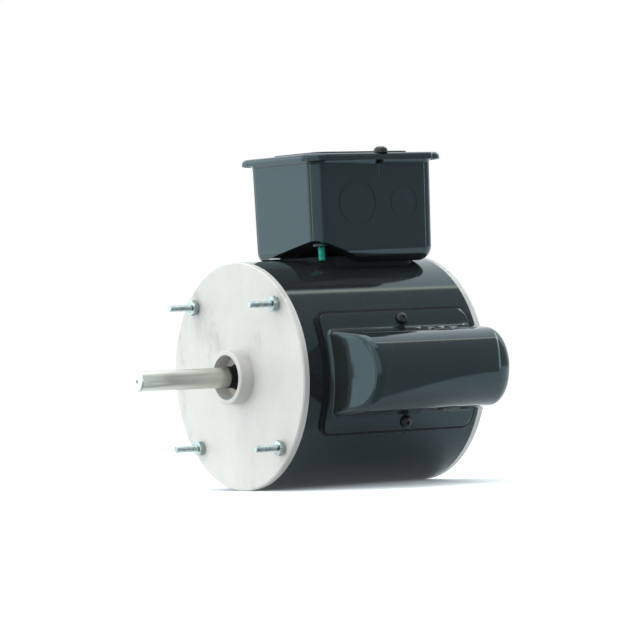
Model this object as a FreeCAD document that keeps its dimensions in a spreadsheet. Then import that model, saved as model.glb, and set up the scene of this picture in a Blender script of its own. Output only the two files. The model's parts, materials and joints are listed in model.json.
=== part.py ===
import FreeCAD, Part
import math
import os
import re
import Sketcher

from FreeCAD import Placement, Rotation, Vector

# Totally enclosed fan-duty electric motor, 48 frame, single phase with a run capacitor.
#
# Frame: the shaft's axis is Y, the drive end points to -Y, the conduit box stands on top (+Z)
# and the capacitor cover is on the +X side. The origin is on the shaft's axis, in the plane of
# the drive end bell's front face. All lengths are millimetres and all angles degrees.

SIZES = {
    # Crown rounding of every screw's round head, as a share of the head's height
    "head_crown": 0.45,
    # Shell and end bells
    "shell_dia": 142.9,
    "shell_wall": 1.9,
    "shell_length": 132.4,
    "drive_rim": 4.1,
    "rear_rim": 4.4,
    "rim_chamfer": 0.8,
    "bell_wall": 4.5,
    "spigot_length": 8.0,
    "spigot_wall": 4.0,
    "spigot_gap": 0.05,
    "inner_round": 2.5,
    "rib_count": 8,
    "rib_width": 3.2,
    "rib_height": 9.0,
    "collar_dia": 34.0,
    "collar_bore": 28.0,
    "collar_length": 9.5,
    "collar_round": 1.0,
    "rear_boss_dia": 36.0,
    "rear_boss_height": 2.5,
    # Bearing housings, the same at both ends
    "housing_dia": 40.0,
    "housing_depth": 27.0,
    "housing_floor": 3.0,
    "cavity_dia": 30.0,
    "seat_depth": 11.2,
    "seat_bore": 18.4,
    "shaft_hole": 14.4,
    # Self-aligning sleeve bearings and what holds and oils them
    "bearing_ball": 22.0,
    "bearing_nose": 17.2,
    "bearing_length": 20.0,
    "bearing_centre": 14.0,
    "running_gap": 0.03,
    "fit_gap": 0.1,
    "clip_thick": 0.8,
    "clip_bore": 19.4,
    "cap_thick": 0.8,
    "cap_setback": 1.2,
    "cap_bore": 19.4,
    # Through-bolts, which are also the four mounting studs
    "bolt_inset": 8.588,
    "bolt_dia": 4.17,
    "bolt_shank_dia": 3.65,
    "bolt_reach": 20.0,
    "bolt_point": 0.6,
    "bolt_hole": 4.8,
    "bolt_boss": 12.4,
    "bolt_boss_height": 9.0,
    "bolt_head_flats": 6.35,
    "bolt_head_height": 2.8,
    "nut_flats": 8.73,
    "nut_height": 3.2,
    "washer_dia": 8.4,
    "washer_height": 0.8,
    # Stator
    "stack_length": 50.0,
    "yoke_width": 14.05,
    "bolt_notch": 6.6,
    "slot_count": 24,
    "slot_mouth": 2.6,
    "slot_lip": 1.2,
    "slot_shoulder": 1.2,
    "slot_top": 6.2,
    "slot_bottom": 9.2,
    "slot_depth": 14.0,
    "liner_gap": 0.1,
    "liner_thick": 0.3,
    "liner_reach": 2.0,
    "pole_count": 4,
    "coil_height": 4.1,
    "coil_gap": 0.9,
    "coil_leg_angle": 6.2,
    "short_turn_rise": 5.0,
    "short_turn_thick": 6.0,
    "long_turn_rise": 12.5,
    "long_turn_thick": 7.0,
    "protector_width": 12.0,
    "protector_thick": 5.5,
    "protector_span": 34.0,
    # Rotor
    "air_gap": 0.35,
    "shaft_dia": 12.7,
    "journal_dia": 12.67,
    "shaft_reach": 75.3,
    "shaft_chamfer": 0.8,
    "shaft_centre_hole": 2.4,
    "relief_width": 1.0,
    "relief_depth": 0.3,
    "core_shaft_dia": 16.0,
    "rear_shaft_gap": 0.6,
    "end_play": 0.3,
    "thrust_thick": 2.2,
    "thrust_dia": 18.6,
    "bar_count": 28,
    "bar_depth": 1.2,
    "bar_height": 6.5,
    "bar_outer": 4.0,
    "bar_inner": 2.6,
    "ring_height": 8.0,
    "ring_inset": 0.85,
    "ring_width": 13.3,
    "vane_count": 8,
    "vane_height": 9.5,
    "vane_thick": 2.6,
    "vane_inset": 1.0,
    "thrower_dia": 27.0,
    "thrower_thick": 1.2,
    "slinger_dia": 16.0,
    "slinger_sleeve": 13.6,
    "slinger_length": 8.2,
    "slinger_lip": 1.1,
    "slinger_gap": 0.8,
    # Conduit box on its saddle
    "box_y": 85.7,
    "box_width": 73.9,
    "box_length": 94.1,
    "box_height": 62.1,
    "box_wall": 1.5,
    "box_draft": 0.8,
    "box_round": 9.0,
    "box_flange": 4.35,
    "box_flange_thick": 1.1,
    "box_flange_root": 3.6,
    "saddle_rise": 1.35,
    "box_foot_drop": 4.2,
    "saddle_side_inset": 9.95,
    "saddle_side_gap": 0.8,
    "saddle_front_inset": 11.05,
    "saddle_round": 8.5,
    "lead_hole": 22.0,
    "lead_hole_gap": 1.4,
    "saddle_rear_wall": 3.0,
    "saddle_screw_inset": 19.05,
    "saddle_screw_setback": 18.0,
    "saddle_screw_dia": 4.17,
    "saddle_screw_head": 8.2,
    "saddle_screw_head_height": 2.6,
    "bushing_wall": 1.6,
    "bushing_flange": 26.0,
    "bushing_flange_thick": 1.6,
    "bushing_length": 8.0,
    "large_knockout": 28.2,
    "small_knockout": 20.6,
    "large_knockout_y": -14.7,
    "small_knockout_y": 21.3,
    "knockout_rise": 33.0,
    "knockout_slit": 0.5,
    "knockout_depth": 0.3,
    "ground_inset": 10.45,
    "ground_dent_dia": 28.0,
    "ground_dent_depth": 5.5,
    "ground_dent_round": 3.0,
    "ground_rim_dia": 7.6,
    "ground_rim_height": 1.2,
    "ground_screw_dia": 4.83,
    "ground_screw_length": 9.4,
    "ground_head_flats": 7.94,
    "ground_head_height": 3.2,
    "ground_flange_dia": 10.2,
    "ground_flange_thick": 0.9,
    # Lid of the box
    "lid_overhang": 1.4,
    "lid_corner": 12.5,
    "lid_wall": 1.1,
    "lid_depth": 4.6,
    "lid_round": 3.0,
    "lid_gasket_thick": 1.0,
    "lid_gasket_inset": 1.8,
    "lid_panel_margin": 16.5,
    "lid_panel_rise": 1.7,
    "lid_panel_corner": 7.0,
    "lid_panel_round": 0.8,
    "lid_screw_out": 1.55,
    "lid_screw_y": 3.7,
    "lid_screw_dia": 3.8,
    "lid_screw_hole": 4.4,
    "lid_screw_length": 6.8,
    "lid_screw_head": 8.8,
    "lid_screw_head_height": 3.9,
    # Capacitor and its cover, on the +X side
    "gasket_thick": 1.5,
    "gasket_margin": 2.6,
    "cover_wall": 1.2,
    "cover_front": 17.0,
    "cover_length": 113.5,
    "cover_flange_reach": 36.475,
    "cover_flange_corner": 6.0,
    "cover_rise": 44.55,
    "cover_root": 6.0,
    "cover_crown_radius": 24.7,
    "cover_draft": 5.2,
    "cover_front_slope": 14.0,
    "cover_front_inset": 2.4,
    "cover_rear_inset": 1.2,
    "cover_front_round": 11.0,
    "cover_rear_round": 9.0,
    "cover_screw_setback": 62.0,
    "cover_screw_reach": 31.4,
    "cover_screw_dia": 3.8,
    "cover_screw_head": 8.0,
    "cover_screw_head_height": 2.7,
    "cover_screw_length": 4.5,
    "capacitor_dia": 40.0,
    "capacitor_length": 80.0,
    "capacitor_setback": 18.0,
    "capacitor_roll": 1.0,
    "capacitor_top_thick": 1.6,
    "terminal_width": 6.35,
    "terminal_thick": 0.8,
    "terminal_height": 6.0,
    "terminal_pitch": 14.0,
    "bed_thick": 2.6,
    "bed_width": 18.0,
    "bed_length": 60.0,
    "lead_port_setback": 11.5,
    "lead_port_dia": 11.0,
    "port_grommet_flange": 15.0,
    "port_grommet_thick": 1.5,
    "port_grommet_wall": 1.5,
}

# Lengths that follow from the sizes, as expressions on the sheet
SHELL_R = "(shell_dia / 2)"
BORE_R = "(shell_dia / 2 - shell_wall)"
REAR_Y = "(drive_rim + shell_length + rear_rim)"
BOLT_X = "((shell_dia / 2 - bolt_inset) / sqrt(2))"
STUD_ROOT_Y = "(-washer_height - nut_height)"
STACK_Y = "(drive_rim + shell_length / 2 - stack_length / 2)"
STACK_END_Y = "(drive_rim + shell_length / 2 + stack_length / 2)"
SHAFT_R = "(shaft_dia / 2)"
JOURNAL_R = "(journal_dia / 2)"
SHOULDER = "(bearing_centre + bearing_length / 2 + thrust_thick + end_play)"
SLOT_FOOT_R = "(shell_dia / 2 - shell_wall - yoke_width)"
STATOR_R = f"({SLOT_FOOT_R} - slot_depth)"
MAIN_R = f"({SLOT_FOOT_R} - coil_gap - coil_height)"
START_R = f"({SLOT_FOOT_R} - 2 * coil_gap - 2 * coil_height)"
ROTOR_R = f"({STATOR_R} - air_gap)"
RING_R = f"({ROTOR_R} - ring_inset)"
BOX_Z = "(shell_dia / 2 + saddle_rise)"
BOX_FOOT_Z = "(shell_dia / 2 + saddle_rise - box_foot_drop)"
BOX_TOP_Z = "(shell_dia / 2 + saddle_rise + box_height)"
LID_TOP_Z = "(shell_dia / 2 + saddle_rise + box_height + lid_gasket_thick + lid_wall)"
LID_HALF_X = "(box_width / 2 + box_flange + lid_overhang)"
LID_HALF_Y = "(box_length / 2 + box_flange + lid_overhang)"
FLANGE_R = "(shell_dia / 2 + gasket_thick)"
COVER_REAR = "(cover_front + cover_length)"
CROWN_X = "(shell_dia / 2 + cover_rise)"
COVER_SCREW_TURN = f"asin(cover_screw_reach / {FLANGE_R})"
COVER_FLANGE_ANGLE = f"(2 * asin(cover_flange_reach / {FLANGE_R}))"
CAPACITOR_X = "(shell_dia / 2 + bed_thick + capacitor_dia / 2)"
CAPACITOR_Y = "(cover_front + capacitor_setback)"
COVER_SCREW_Y = "(cover_front + cover_screw_setback)"
LEAD_PORT_Y = "(cover_front + lead_port_setback)"
LID_SCREW_X = "(box_width / 2 + lid_screw_out)"
GROUND_X = "(box_width / 2 - ground_inset)"
GROUND_Y = "(ground_inset - box_length / 2)"
LEAD_HOLE_Y = f"({STACK_END_Y} + lead_hole_gap + lead_hole / 2 - box_y)"
BOX_SCREW_YS = ["(saddle_screw_inset - box_length / 2)", f"({LEAD_HOLE_Y} - saddle_screw_setback)"]

# How far an edge may lie from where it is looked for
SLACK = 0.01

document = FreeCAD.newDocument("Motor")
sheet = document.addObject("Spreadsheet::Sheet", "Sizes")
for row, (alias, number) in enumerate(SIZES.items(), start=1):
    sheet.set(f"A{row}", alias)
    sheet.set(f"B{row}", str(number))
    sheet.setAlias(f"B{row}", alias)
document.recompute()

subparts = []


# ---------------------------------------------------------------- sheet, bodies and sketches

def bound(text):
    """The expression, with every size that it names turned into a reference to the sheet."""
    def refer(word):
        return "Sizes." + word.group() if word.group() in SIZES else word.group()
    return re.sub(r"[A-Za-z]\w*", refer, text)


def value(text):
    """The number that an expression on the sheet comes to."""
    return float(sheet.evalExpression(bound(text)))


def place(thing, x="0", y="0", z="0", rotation=None):
    """Puts a sub-part at a point that the sheet gives, turned by rotation first."""
    thing.Placement = Placement(Vector(), rotation or Rotation())
    for axis, text in zip("xyz", (x, y, z)):
        thing.setExpression(f"Placement.Base.{axis}", bound(text))


def new_body(label, **where):
    """A sub-part made of PartDesign features, in its own place."""
    body = document.addObject("PartDesign::Body", label)
    body.Label = label
    place(body, **where)
    return body


def keep(thing):
    """Marks a finished object as one of the sub-parts to be written."""
    subparts.append(thing)
    return thing


def datum(body, role):
    """One of a body's own origin planes or axes."""
    return next(thing for thing in body.Origin.OriginFeatures if thing.Role == role)


def new_sketch(body, plane, station="0", turn="0"):
    """A sketch on the body's XY, XZ or YZ plane, moved along that plane's own axis to a station.

    A turn swings a sketch on XY or YZ about the body's Y axis, and one on XZ in its own plane."""
    sketch = body.newObject("Sketcher::SketchObject", f"{body.Name}_{plane}")
    sketch.AttachmentSupport = [(datum(body, plane + "_Plane"), "")]
    sketch.MapMode = "FlatFace"
    hinge = {"XY": Vector(0, 1, 0), "XZ": Vector(0, 0, -1), "YZ": Vector(1, 0, 0)}[plane]
    sketch.AttachmentOffset = Placement(Vector(), Rotation(hinge, value(turn)))
    offset = {
        "XY": {"x": f"({station}) * sin({turn})", "z": f"({station}) * cos({turn})"},
        "XZ": {"z": f"-({station})"},
        "YZ": {"y": f"-({station}) * sin({turn})", "z": f"({station}) * cos({turn})"},
    }[plane]
    for axis, text in offset.items():
        sketch.setExpression(f"AttachmentOffset.Base.{axis}", bound(text))
    return sketch


def pin(sketch, geometry, point, x, y):
    """Holds one point of a sketch at the coordinates of two expressions."""
    for kind, text in (("DistanceX", x), ("DistanceY", y)):
        rule = Sketcher.Constraint(kind, -1, 1, geometry, point, value(text))
        index = sketch.addConstraint(rule)
        sketch.setExpression(f"Constraints[{index}]", bound(text))


def draw_circle(sketch, radius, x="0", y="0"):
    centre = Vector(value(x), value(y), 0)
    index = sketch.addGeometry(Part.Circle(centre, Vector(0, 0, 1), value(radius)))
    pin(sketch, index, 3, x, y)
    rule = sketch.addConstraint(Sketcher.Constraint("Radius", index, value(radius)))
    sketch.setExpression(f"Constraints[{rule}]", bound(radius))


def corner_cut(before, corner, after, radius):
    """Where the arc that rounds a corner starts and ends, and its middle point."""
    towards = (before - corner).normalize()
    onwards = (after - corner).normalize()
    half = towards.getAngle(onwards) / 2
    reach = radius / math.tan(half)
    bisector = (towards + onwards).normalize()
    middle = corner + bisector * (radius / math.sin(half) - radius)
    return corner + towards * reach, middle, corner + onwards * reach


def draw_outline(sketch, corners):
    """A closed outline. A corner is (x, y), or (x, y, radius) where it is rounded."""
    points = [Vector(value(corner[0]), value(corner[1]), 0) for corner in corners]
    count = len(corners)
    leave = list(points)
    arrive = list(points)
    middles = {}
    for index, corner in enumerate(corners):
        if len(corner) == 3:
            after = points[(index + 1) % count]
            cut = corner_cut(points[index - 1], points[index], after, value(corner[2]))
            arrive[index], middles[index], leave[index] = cut
    lines = [
        sketch.addGeometry(Part.LineSegment(leave[index], arrive[(index + 1) % count]))
        for index in range(count)
    ]
    for index, corner in enumerate(corners):
        incoming, outgoing = lines[index - 1], lines[index]
        if index not in middles:
            rule = Sketcher.Constraint("Coincident", incoming, 2, outgoing, 1)
            sketch.addConstraint(rule)
            pin(sketch, outgoing, 1, corner[0], corner[1])
            continue
        arc = sketch.addGeometry(Part.Arc(arrive[index], middles[index], leave[index]))
        into, out_of = points[index] - arrive[index], leave[index] - points[index]
        start, finish = (1, 2) if into.cross(out_of).z > 0 else (2, 1)
        apex = sketch.addGeometry(Part.Point(points[index]), True)
        pin(sketch, apex, 1, corner[0], corner[1])
        sketch.addConstraint([
            Sketcher.Constraint("PointOnObject", apex, 1, incoming),
            Sketcher.Constraint("PointOnObject", apex, 1, outgoing),
            Sketcher.Constraint("Tangent", incoming, 2, arc, start),
            Sketcher.Constraint("Tangent", arc, finish, outgoing, 1),
        ])
        rule = sketch.addConstraint(Sketcher.Constraint("Radius", arc, value(corner[2])))
        sketch.setExpression(f"Constraints[{rule}]", bound(corner[2]))


def draw_rectangle(sketch, x0, x1, y0, y1, radius=None):
    """A rectangle between two x and two y, with all corners rounded alike or all sharp."""
    extra = (radius,) if radius else ()
    draw_outline(sketch, [(x0, y0) + extra, (x1, y0) + extra, (x1, y1) + extra, (x0, y1) + extra])


def draw_centred(sketch, half_x, half_y, radius=None):
    draw_rectangle(sketch, f"-({half_x})", half_x, f"-({half_y})", half_y, radius)


def draw_hexagon(sketch, flats, x="0", y="0"):
    """A hexagon of the given width across flats, with two corners on its own x axis."""
    corners = []
    for step in range(6):
        across = f"({flats}) / sqrt(3)"
        corners.append((
            f"{x} + {across} * cos({60 * step})",
            f"{y} + {across} * sin({60 * step})",
        ))
    draw_outline(sketch, corners)


# ---------------------------------------------------------------- features

def feature_on(body, kind, sketch):
    feature = body.newObject(f"PartDesign::{kind}", f"{body.Name}_{kind}")
    feature.Profile = sketch
    return feature


def runs_along_normal(sketch, positive):
    """Whether a positive or negative run along the plane's own axis follows its normal."""
    return positive != ("_XZ" in sketch.Name)


def pad(body, sketch, length, positive=True):
    """Adds the sketch's area, run along its plane's axis."""
    feature = feature_on(body, "Pad", sketch)
    feature.Reversed = not runs_along_normal(sketch, positive)
    feature.setExpression("Length", bound(length))
    return feature


def pocket(body, sketch, depth, positive=True):
    """Cuts the sketch's area, run along its plane's axis."""
    feature = feature_on(body, "Pocket", sketch)
    feature.Reversed = runs_along_normal(sketch, positive)
    feature.setExpression("Length", bound(depth))
    return feature


def turned(body, sketch, kind="Revolution", angle="360"):
    """Adds or cuts (Groove) the sketch's area, turned about the body's Y axis."""
    feature = feature_on(body, kind, sketch)
    feature.ReferenceAxis = (sketch, ["V_Axis"])
    feature.Midplane = angle != "360"
    feature.setExpression("Angle", bound(angle))
    return feature


def around(body, features, count, role="Y_Axis", angle="360"):
    """Repeats features about one of the body's axes, and makes the pattern its tip."""
    pattern = body.newObject("PartDesign::PolarPattern", f"{body.Name}_pattern")
    pattern.Originals = features
    pattern.Axis = (datum(body, role), [""])
    pattern.setExpression("Angle", bound(angle))
    pattern.setExpression("Occurrences", bound(count))
    body.Tip = pattern
    return pattern


def edges_of(shape, chosen):
    return [f"Edge{number}" for number, edge in enumerate(shape.Edges, start=1) if chosen(edge)]


def faces_of(shape, chosen):
    return [f"Face{number}" for number, face in enumerate(shape.Faces, start=1) if chosen(face)]


def rounded(body, chosen, radius):
    """Rounds the edges of the body's tip that chosen picks."""
    document.recompute()
    tip = body.Tip
    feature = body.newObject("PartDesign::Fillet", f"{body.Name}_Fillet")
    feature.Base = (tip, edges_of(tip.Shape, chosen))
    feature.setExpression("Radius", bound(radius))
    return feature


def chamfered(body, chosen, size):
    """Chamfers the edges of the body's tip that chosen picks."""
    document.recompute()
    tip = body.Tip
    feature = body.newObject("PartDesign::Chamfer", f"{body.Name}_Chamfer")
    feature.Base = (tip, edges_of(tip.Shape, chosen))
    feature.setExpression("Size", bound(size))
    return feature


def hollowed(body, chosen, wall):
    """Turns the body into a shell of the given wall, open at the faces that chosen picks."""
    document.recompute()
    tip = body.Tip
    feature = body.newObject("PartDesign::Thickness", f"{body.Name}_Thickness")
    feature.Base = (tip, faces_of(tip.Shape, chosen))
    feature.Reversed = True
    feature.Join = "Arc"
    feature.setExpression("Value", bound(wall))
    return feature


def level(edge, axis, height):
    """Whether an edge lies in the plane where the given axis has one height."""
    box = edge.BoundBox
    low, high = getattr(box, axis + "Min"), getattr(box, axis + "Max")
    return abs(low - height) < SLACK and abs(high - height) < SLACK


def primitive(kind, name, **lengths):
    """A Part primitive whose lengths are bound to the sheet."""
    made = document.addObject(f"Part::{kind}", name)
    for length, text in lengths.items():
        made.setExpression(length, bound(text))
    return made


def tube_along_y(name, radius, start, end):
    """A Part cylinder about the Y axis, between two stations."""
    made = primitive("Cylinder", name, Radius=radius, Height=f"{end} - ({start})")
    place(made, y=start, rotation=Rotation(Vector(1, 0, 0), -90))
    return made


def combine(kind, name, first, second):
    """A Part boolean (Cut, Fuse or Common) of two objects."""
    made = document.addObject(f"Part::{kind}", name)
    made.Base = first
    made.Tool = second
    return made


# ---------------------------------------------------------------- frame

def make_shell():
    """Rolled steel tube, with the ports and screw holes for what is mounted on it."""
    body = new_body("shell")
    ring = new_sketch(body, "XZ", "drive_rim")
    draw_circle(ring, SHELL_R)
    draw_circle(ring, BORE_R)
    pad(body, ring, "shell_length")
    top = new_sketch(body, "XY")
    draw_circle(top, "lead_hole / 2", "0", f"box_y + {LEAD_HOLE_Y}")
    for y in BOX_SCREW_YS:
        draw_circle(top, "saddle_screw_dia / 2", "0", f"box_y + {y}")
    pocket(body, top, "shell_dia")
    port = new_sketch(body, "YZ")
    draw_circle(port, "lead_port_dia / 2", LEAD_PORT_Y, "0")
    pocket(body, port, "shell_dia")
    for side in ("-", "+"):
        hole = new_sketch(body, "YZ", turn=f"{side}{COVER_SCREW_TURN}")
        draw_circle(hole, "cover_screw_dia / 2", COVER_SCREW_Y, "0")
        pocket(body, hole, "shell_dia")
    return keep(body)


def make_end_bell(label, rim, collar, **where):
    """Cast aluminium end bell, with its face at y = 0 and its inside towards +Y."""
    body = new_body(label, **where)
    spigot_r = f"({BORE_R} - spigot_gap)"
    spigot_end = f"({rim} + spigot_length)"
    inside = [
        (f"{SHELL_R} - rim_chamfer", "0"),
        (SHELL_R, "rim_chamfer"),
        (SHELL_R, rim),
        (spigot_r, rim),
        (spigot_r, f"{spigot_end} - rim_chamfer"),
        (f"{spigot_r} - rim_chamfer", spigot_end),
        (f"{spigot_r} - spigot_wall", spigot_end),
        (f"{spigot_r} - spigot_wall", "bell_wall"),
        ("housing_dia / 2", "bell_wall", "inner_round"),
        ("housing_dia / 2", "housing_depth"),
        ("cavity_dia / 2", "housing_depth"),
        ("cavity_dia / 2", "seat_depth"),
        ("seat_bore / 2", "seat_depth"),
        ("seat_bore / 2", "housing_floor"),
    ]
    if collar:
        nose = [
            ("shaft_hole / 2", "housing_floor"),
            ("shaft_hole / 2", "0"),
            ("collar_bore / 2", "0"),
            ("collar_bore / 2", "-collar_length"),
            ("collar_dia / 2", "-collar_length", "collar_round"),
            ("collar_dia / 2", "0"),
        ]
    else:
        nose = [
            ("0", "housing_floor"),
            ("0", "-rear_boss_height"),
            ("rear_boss_dia / 2", "-rear_boss_height", "collar_round"),
            ("rear_boss_dia / 2", "0", "collar_round"),
        ]
    section = new_sketch(body, "XY")
    draw_outline(section, nose + inside)
    turned(body, section)

    rib = new_sketch(body, "XZ", "bell_wall / 2")
    reach = f"{spigot_r} - spigot_wall / 2"
    draw_rectangle(rib, "housing_dia / 2 - rib_width / 2", reach, "-rib_width / 2", "rib_width / 2")
    ribs = pad(body, rib, "bell_wall / 2 + rib_height")
    around(body, [ribs], "rib_count")

    boss = new_sketch(body, "XZ", "bell_wall / 2")
    draw_circle(boss, "bolt_boss / 2", BOLT_X, BOLT_X)
    bosses = pad(body, boss, "bell_wall / 2 + bolt_boss_height")
    around(body, [bosses], "4")

    hole = new_sketch(body, "XZ")
    draw_circle(hole, "bolt_hole / 2", BOLT_X, BOLT_X)
    holes = pocket(body, hole, "housing_depth")
    around(body, [holes], "4")

    document.recompute()
    seat = body.newObject("PartDesign::SubtractiveSphere", f"{label}_seat")
    seat.setExpression("Radius", bound("bearing_ball / 2"))
    seat.AttachmentSupport = [(datum(body, "XZ_Plane"), "")]
    seat.MapMode = "FlatFace"
    seat.setExpression("AttachmentOffset.Base.z", bound("-bearing_centre"))
    return keep(body)


def make_through_bolts():
    """Long bolts that clamp the bells onto the shell and end as the mounting studs.

    Their threads stand as plain rods: at full width in the open, and narrower inside the nuts."""
    body = new_body("through_bolts")
    shank = new_sketch(body, "XZ", STUD_ROOT_Y)
    draw_circle(shank, "bolt_shank_dia / 2", BOLT_X, BOLT_X)
    shanks = pad(body, shank, f"{REAR_Y} + bolt_head_height / 2 - {STUD_ROOT_Y}")
    stud = new_sketch(body, "XZ", "-bolt_reach")
    draw_circle(stud, "bolt_dia / 2", BOLT_X, BOLT_X)
    studs = pad(body, stud, f"bolt_reach + {STUD_ROOT_Y}")
    head = new_sketch(body, "XZ", REAR_Y)
    draw_hexagon(head, "bolt_head_flats", BOLT_X, BOLT_X)
    heads = pad(body, head, "bolt_head_height")
    around(body, [shanks, studs, heads], "4")
    tip_y = value("-bolt_reach")
    chamfered(body, lambda edge: level(edge, "Y", tip_y), "bolt_point")
    return keep(body)


def make_stud_hardware():
    """A washer and a hexagon nut on each stud, against the drive end bell."""
    washers = new_body("stud_washers")
    ring = new_sketch(washers, "XZ", "-washer_height")
    draw_circle(ring, "washer_dia / 2", BOLT_X, BOLT_X)
    draw_circle(ring, "bolt_dia / 2 + fit_gap", BOLT_X, BOLT_X)
    around(washers, [pad(washers, ring, "washer_height")], "4")
    keep(washers)
    nuts = new_body("stud_nuts")
    hexagon = new_sketch(nuts, "XZ", STUD_ROOT_Y)
    draw_hexagon(hexagon, "nut_flats", BOLT_X, BOLT_X)
    draw_circle(hexagon, "bolt_shank_dia / 2", BOLT_X, BOLT_X)
    around(nuts, [pad(nuts, hexagon, "nut_height")], "4")
    keep(nuts)


# ---------------------------------------------------------------- bearings

def make_bearing(label, **where):
    """Sintered bronze sleeve whose ball-shaped middle lets it line itself up."""
    middle = primitive("Sphere", f"{label}_ball", Radius="bearing_ball / 2")
    start = "-bearing_length / 2"
    end = "bearing_length / 2"
    nose = tube_along_y(f"{label}_nose", "bearing_nose / 2", start, end)
    trim = tube_along_y(f"{label}_trim", "bearing_ball / 2", start, end)
    bore = tube_along_y(f"{label}_bore", f"{JOURNAL_R} + running_gap", "-bearing_length",
                        "bearing_length")
    ball = combine("Common", f"{label}_middle", middle, trim)
    solid = combine("Fuse", f"{label}_solid", ball, nose)
    bearing = combine("Cut", label, solid, bore)
    bearing.Label = label
    place(bearing, **where)
    return keep(bearing)


def make_turned_ring(label, corners, **where):
    """A ring of one section, turned about the shaft's axis."""
    body = new_body(label, **where)
    section = new_sketch(body, "XY")
    draw_outline(section, corners)
    turned(body, section)
    return keep(body)


def make_bearing_set(end, **where):
    """One end's bearing, its spring clip, oil wick and inner cap, from the bell's face inwards."""
    flip = where.get("rotation")
    centre = "bearing_centre" if flip is None else f"{REAR_Y} - bearing_centre"
    make_bearing(f"{end}_bearing", y=centre, rotation=flip)

    seat = f"(bearing_centre + sqrt(pow(bearing_ball / 2, 2) - pow(clip_bore / 2, 2)))"
    cavity_r = "cavity_dia / 2"
    make_turned_ring(f"{end}_bearing_clip", [
        ("clip_bore / 2", f"{seat} + fit_gap"),
        (cavity_r, f"{seat} - 2 * clip_thick"),
        (cavity_r, f"{seat} - clip_thick"),
        ("clip_bore / 2", f"{seat} + clip_thick + fit_gap"),
    ], **where)

    wick_start = "(seat_depth + fit_gap)"
    ball_r = "bearing_ball / 2 + fit_gap"
    wick_end = f"({seat} - 2 * clip_thick - fit_gap)"
    make_turned_ring(f"{end}_oil_wick", [
        (ball_r, wick_start),
        (f"{cavity_r} - fit_gap", wick_start),
        (f"{cavity_r} - fit_gap", wick_end),
        (ball_r, wick_end),
    ], **where)

    cap_start = "housing_depth - cap_setback - cap_thick"
    make_turned_ring(f"{end}_bearing_cap", [
        ("cap_bore / 2", cap_start),
        (cavity_r, cap_start),
        (cavity_r, "housing_depth"),
        (f"{cavity_r} - cap_thick", "housing_depth"),
        (f"{cavity_r} - cap_thick", f"{cap_start} + cap_thick"),
        ("cap_bore / 2", f"{cap_start} + cap_thick"),
    ], **where)

    thrust_start = "bearing_centre + bearing_length / 2 + end_play / 2"
    make_turned_ring(f"{end}_thrust_washer", [
        (JOURNAL_R, thrust_start),
        ("thrust_dia / 2", thrust_start),
        ("thrust_dia / 2", f"{thrust_start} + thrust_thick"),
        (JOURNAL_R, f"{thrust_start} + thrust_thick"),
    ], **where)

    thrower_start = "housing_depth + thrower_thick"
    make_turned_ring(f"{end}_oil_thrower", [
        ("core_shaft_dia / 2", thrower_start),
        ("thrower_dia / 2", thrower_start),
        ("thrower_dia / 2", f"{thrower_start} + thrower_thick"),
        ("core_shaft_dia / 2 + thrower_thick", f"{thrower_start} + thrower_thick"),
        ("core_shaft_dia / 2 + thrower_thick", f"{thrower_start} + 4 * thrower_thick"),
        ("core_shaft_dia / 2", f"{thrower_start} + 4 * thrower_thick"),
    ], **where)


# ---------------------------------------------------------------- stator

def slot_corners(inset="0"):
    """A stator slot on the +X side, drawn inwards by inset, from its mouth to its foot."""
    top_r = f"({STATOR_R} + slot_lip + slot_shoulder + {inset})"
    foot_r = f"({SLOT_FOOT_R} - {inset})"
    top = f"(slot_top / 2 - {inset})"
    foot = f"(slot_bottom / 2 - {inset})"
    return top_r, foot_r, top, foot


def make_stator_core():
    """Stack of slotted steel laminations, notched where the through-bolts pass."""
    body = new_body("stator_core")
    ring = new_sketch(body, "XZ", STACK_Y)
    draw_circle(ring, BORE_R)
    draw_circle(ring, STATOR_R)
    pad(body, ring, "stack_length")

    lip_r = f"({STATOR_R} + slot_lip)"
    top_r, foot_r, top, foot = slot_corners()
    # The slots start half a pitch from +X, so that a tooth backs each bolt's notch.
    slot = new_sketch(body, "XZ", STACK_Y, turn="180 / slot_count")
    draw_outline(slot, [
        (f"{STATOR_R} - slot_lip", "-slot_mouth / 2"),
        (lip_r, "-slot_mouth / 2"),
        (top_r, f"-{top}"),
        (foot_r, f"-{foot}"),
        (foot_r, foot),
        (top_r, top),
        (lip_r, "slot_mouth / 2"),
        (f"{STATOR_R} - slot_lip", "slot_mouth / 2"),
    ])
    slots = pocket(body, slot, "stack_length")
    around(body, [slots], "slot_count")

    notch = new_sketch(body, "XZ", STACK_Y, turn="45")
    inner = "shell_dia / 2 - bolt_inset - bolt_notch / 2"
    draw_rectangle(notch, inner, SHELL_R, "-bolt_notch / 2", "bolt_notch / 2", "bolt_notch / 4")
    notches = pocket(body, notch, "stack_length")
    around(body, [notches], "4")
    return keep(body)


def make_slot_liners():
    """A folded paper liner in every slot, open towards the rotor."""
    body = new_body("slot_liners")
    outer = slot_corners("liner_gap")
    inner = slot_corners("(liner_gap + liner_thick)")
    liner = new_sketch(body, "XZ", f"{STACK_Y} - liner_reach", turn="180 / slot_count")
    draw_outline(liner, [
        (outer[0], f"-{outer[2]}"),
        (outer[1], f"-{outer[3]}"),
        (outer[1], outer[3]),
        (outer[0], outer[2]),
        (outer[0], inner[2]),
        (inner[1], inner[3]),
        (inner[1], f"-{inner[3]}"),
        (outer[0], f"-{inner[2]}"),
    ])
    liners = pad(body, liner, "stack_length + 2 * liner_reach")
    around(body, [liners], "slot_count")
    return keep(body)


def coil_block(body, radius, start, end, angle, turn):
    """Part of a coil: a block between two stations, spanning an angle about the shaft."""
    section = new_sketch(body, "XY", turn=turn)
    draw_rectangle(section, radius, f"{radius} + coil_height", start, end)
    return turned(body, section, angle=angle)


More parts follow.
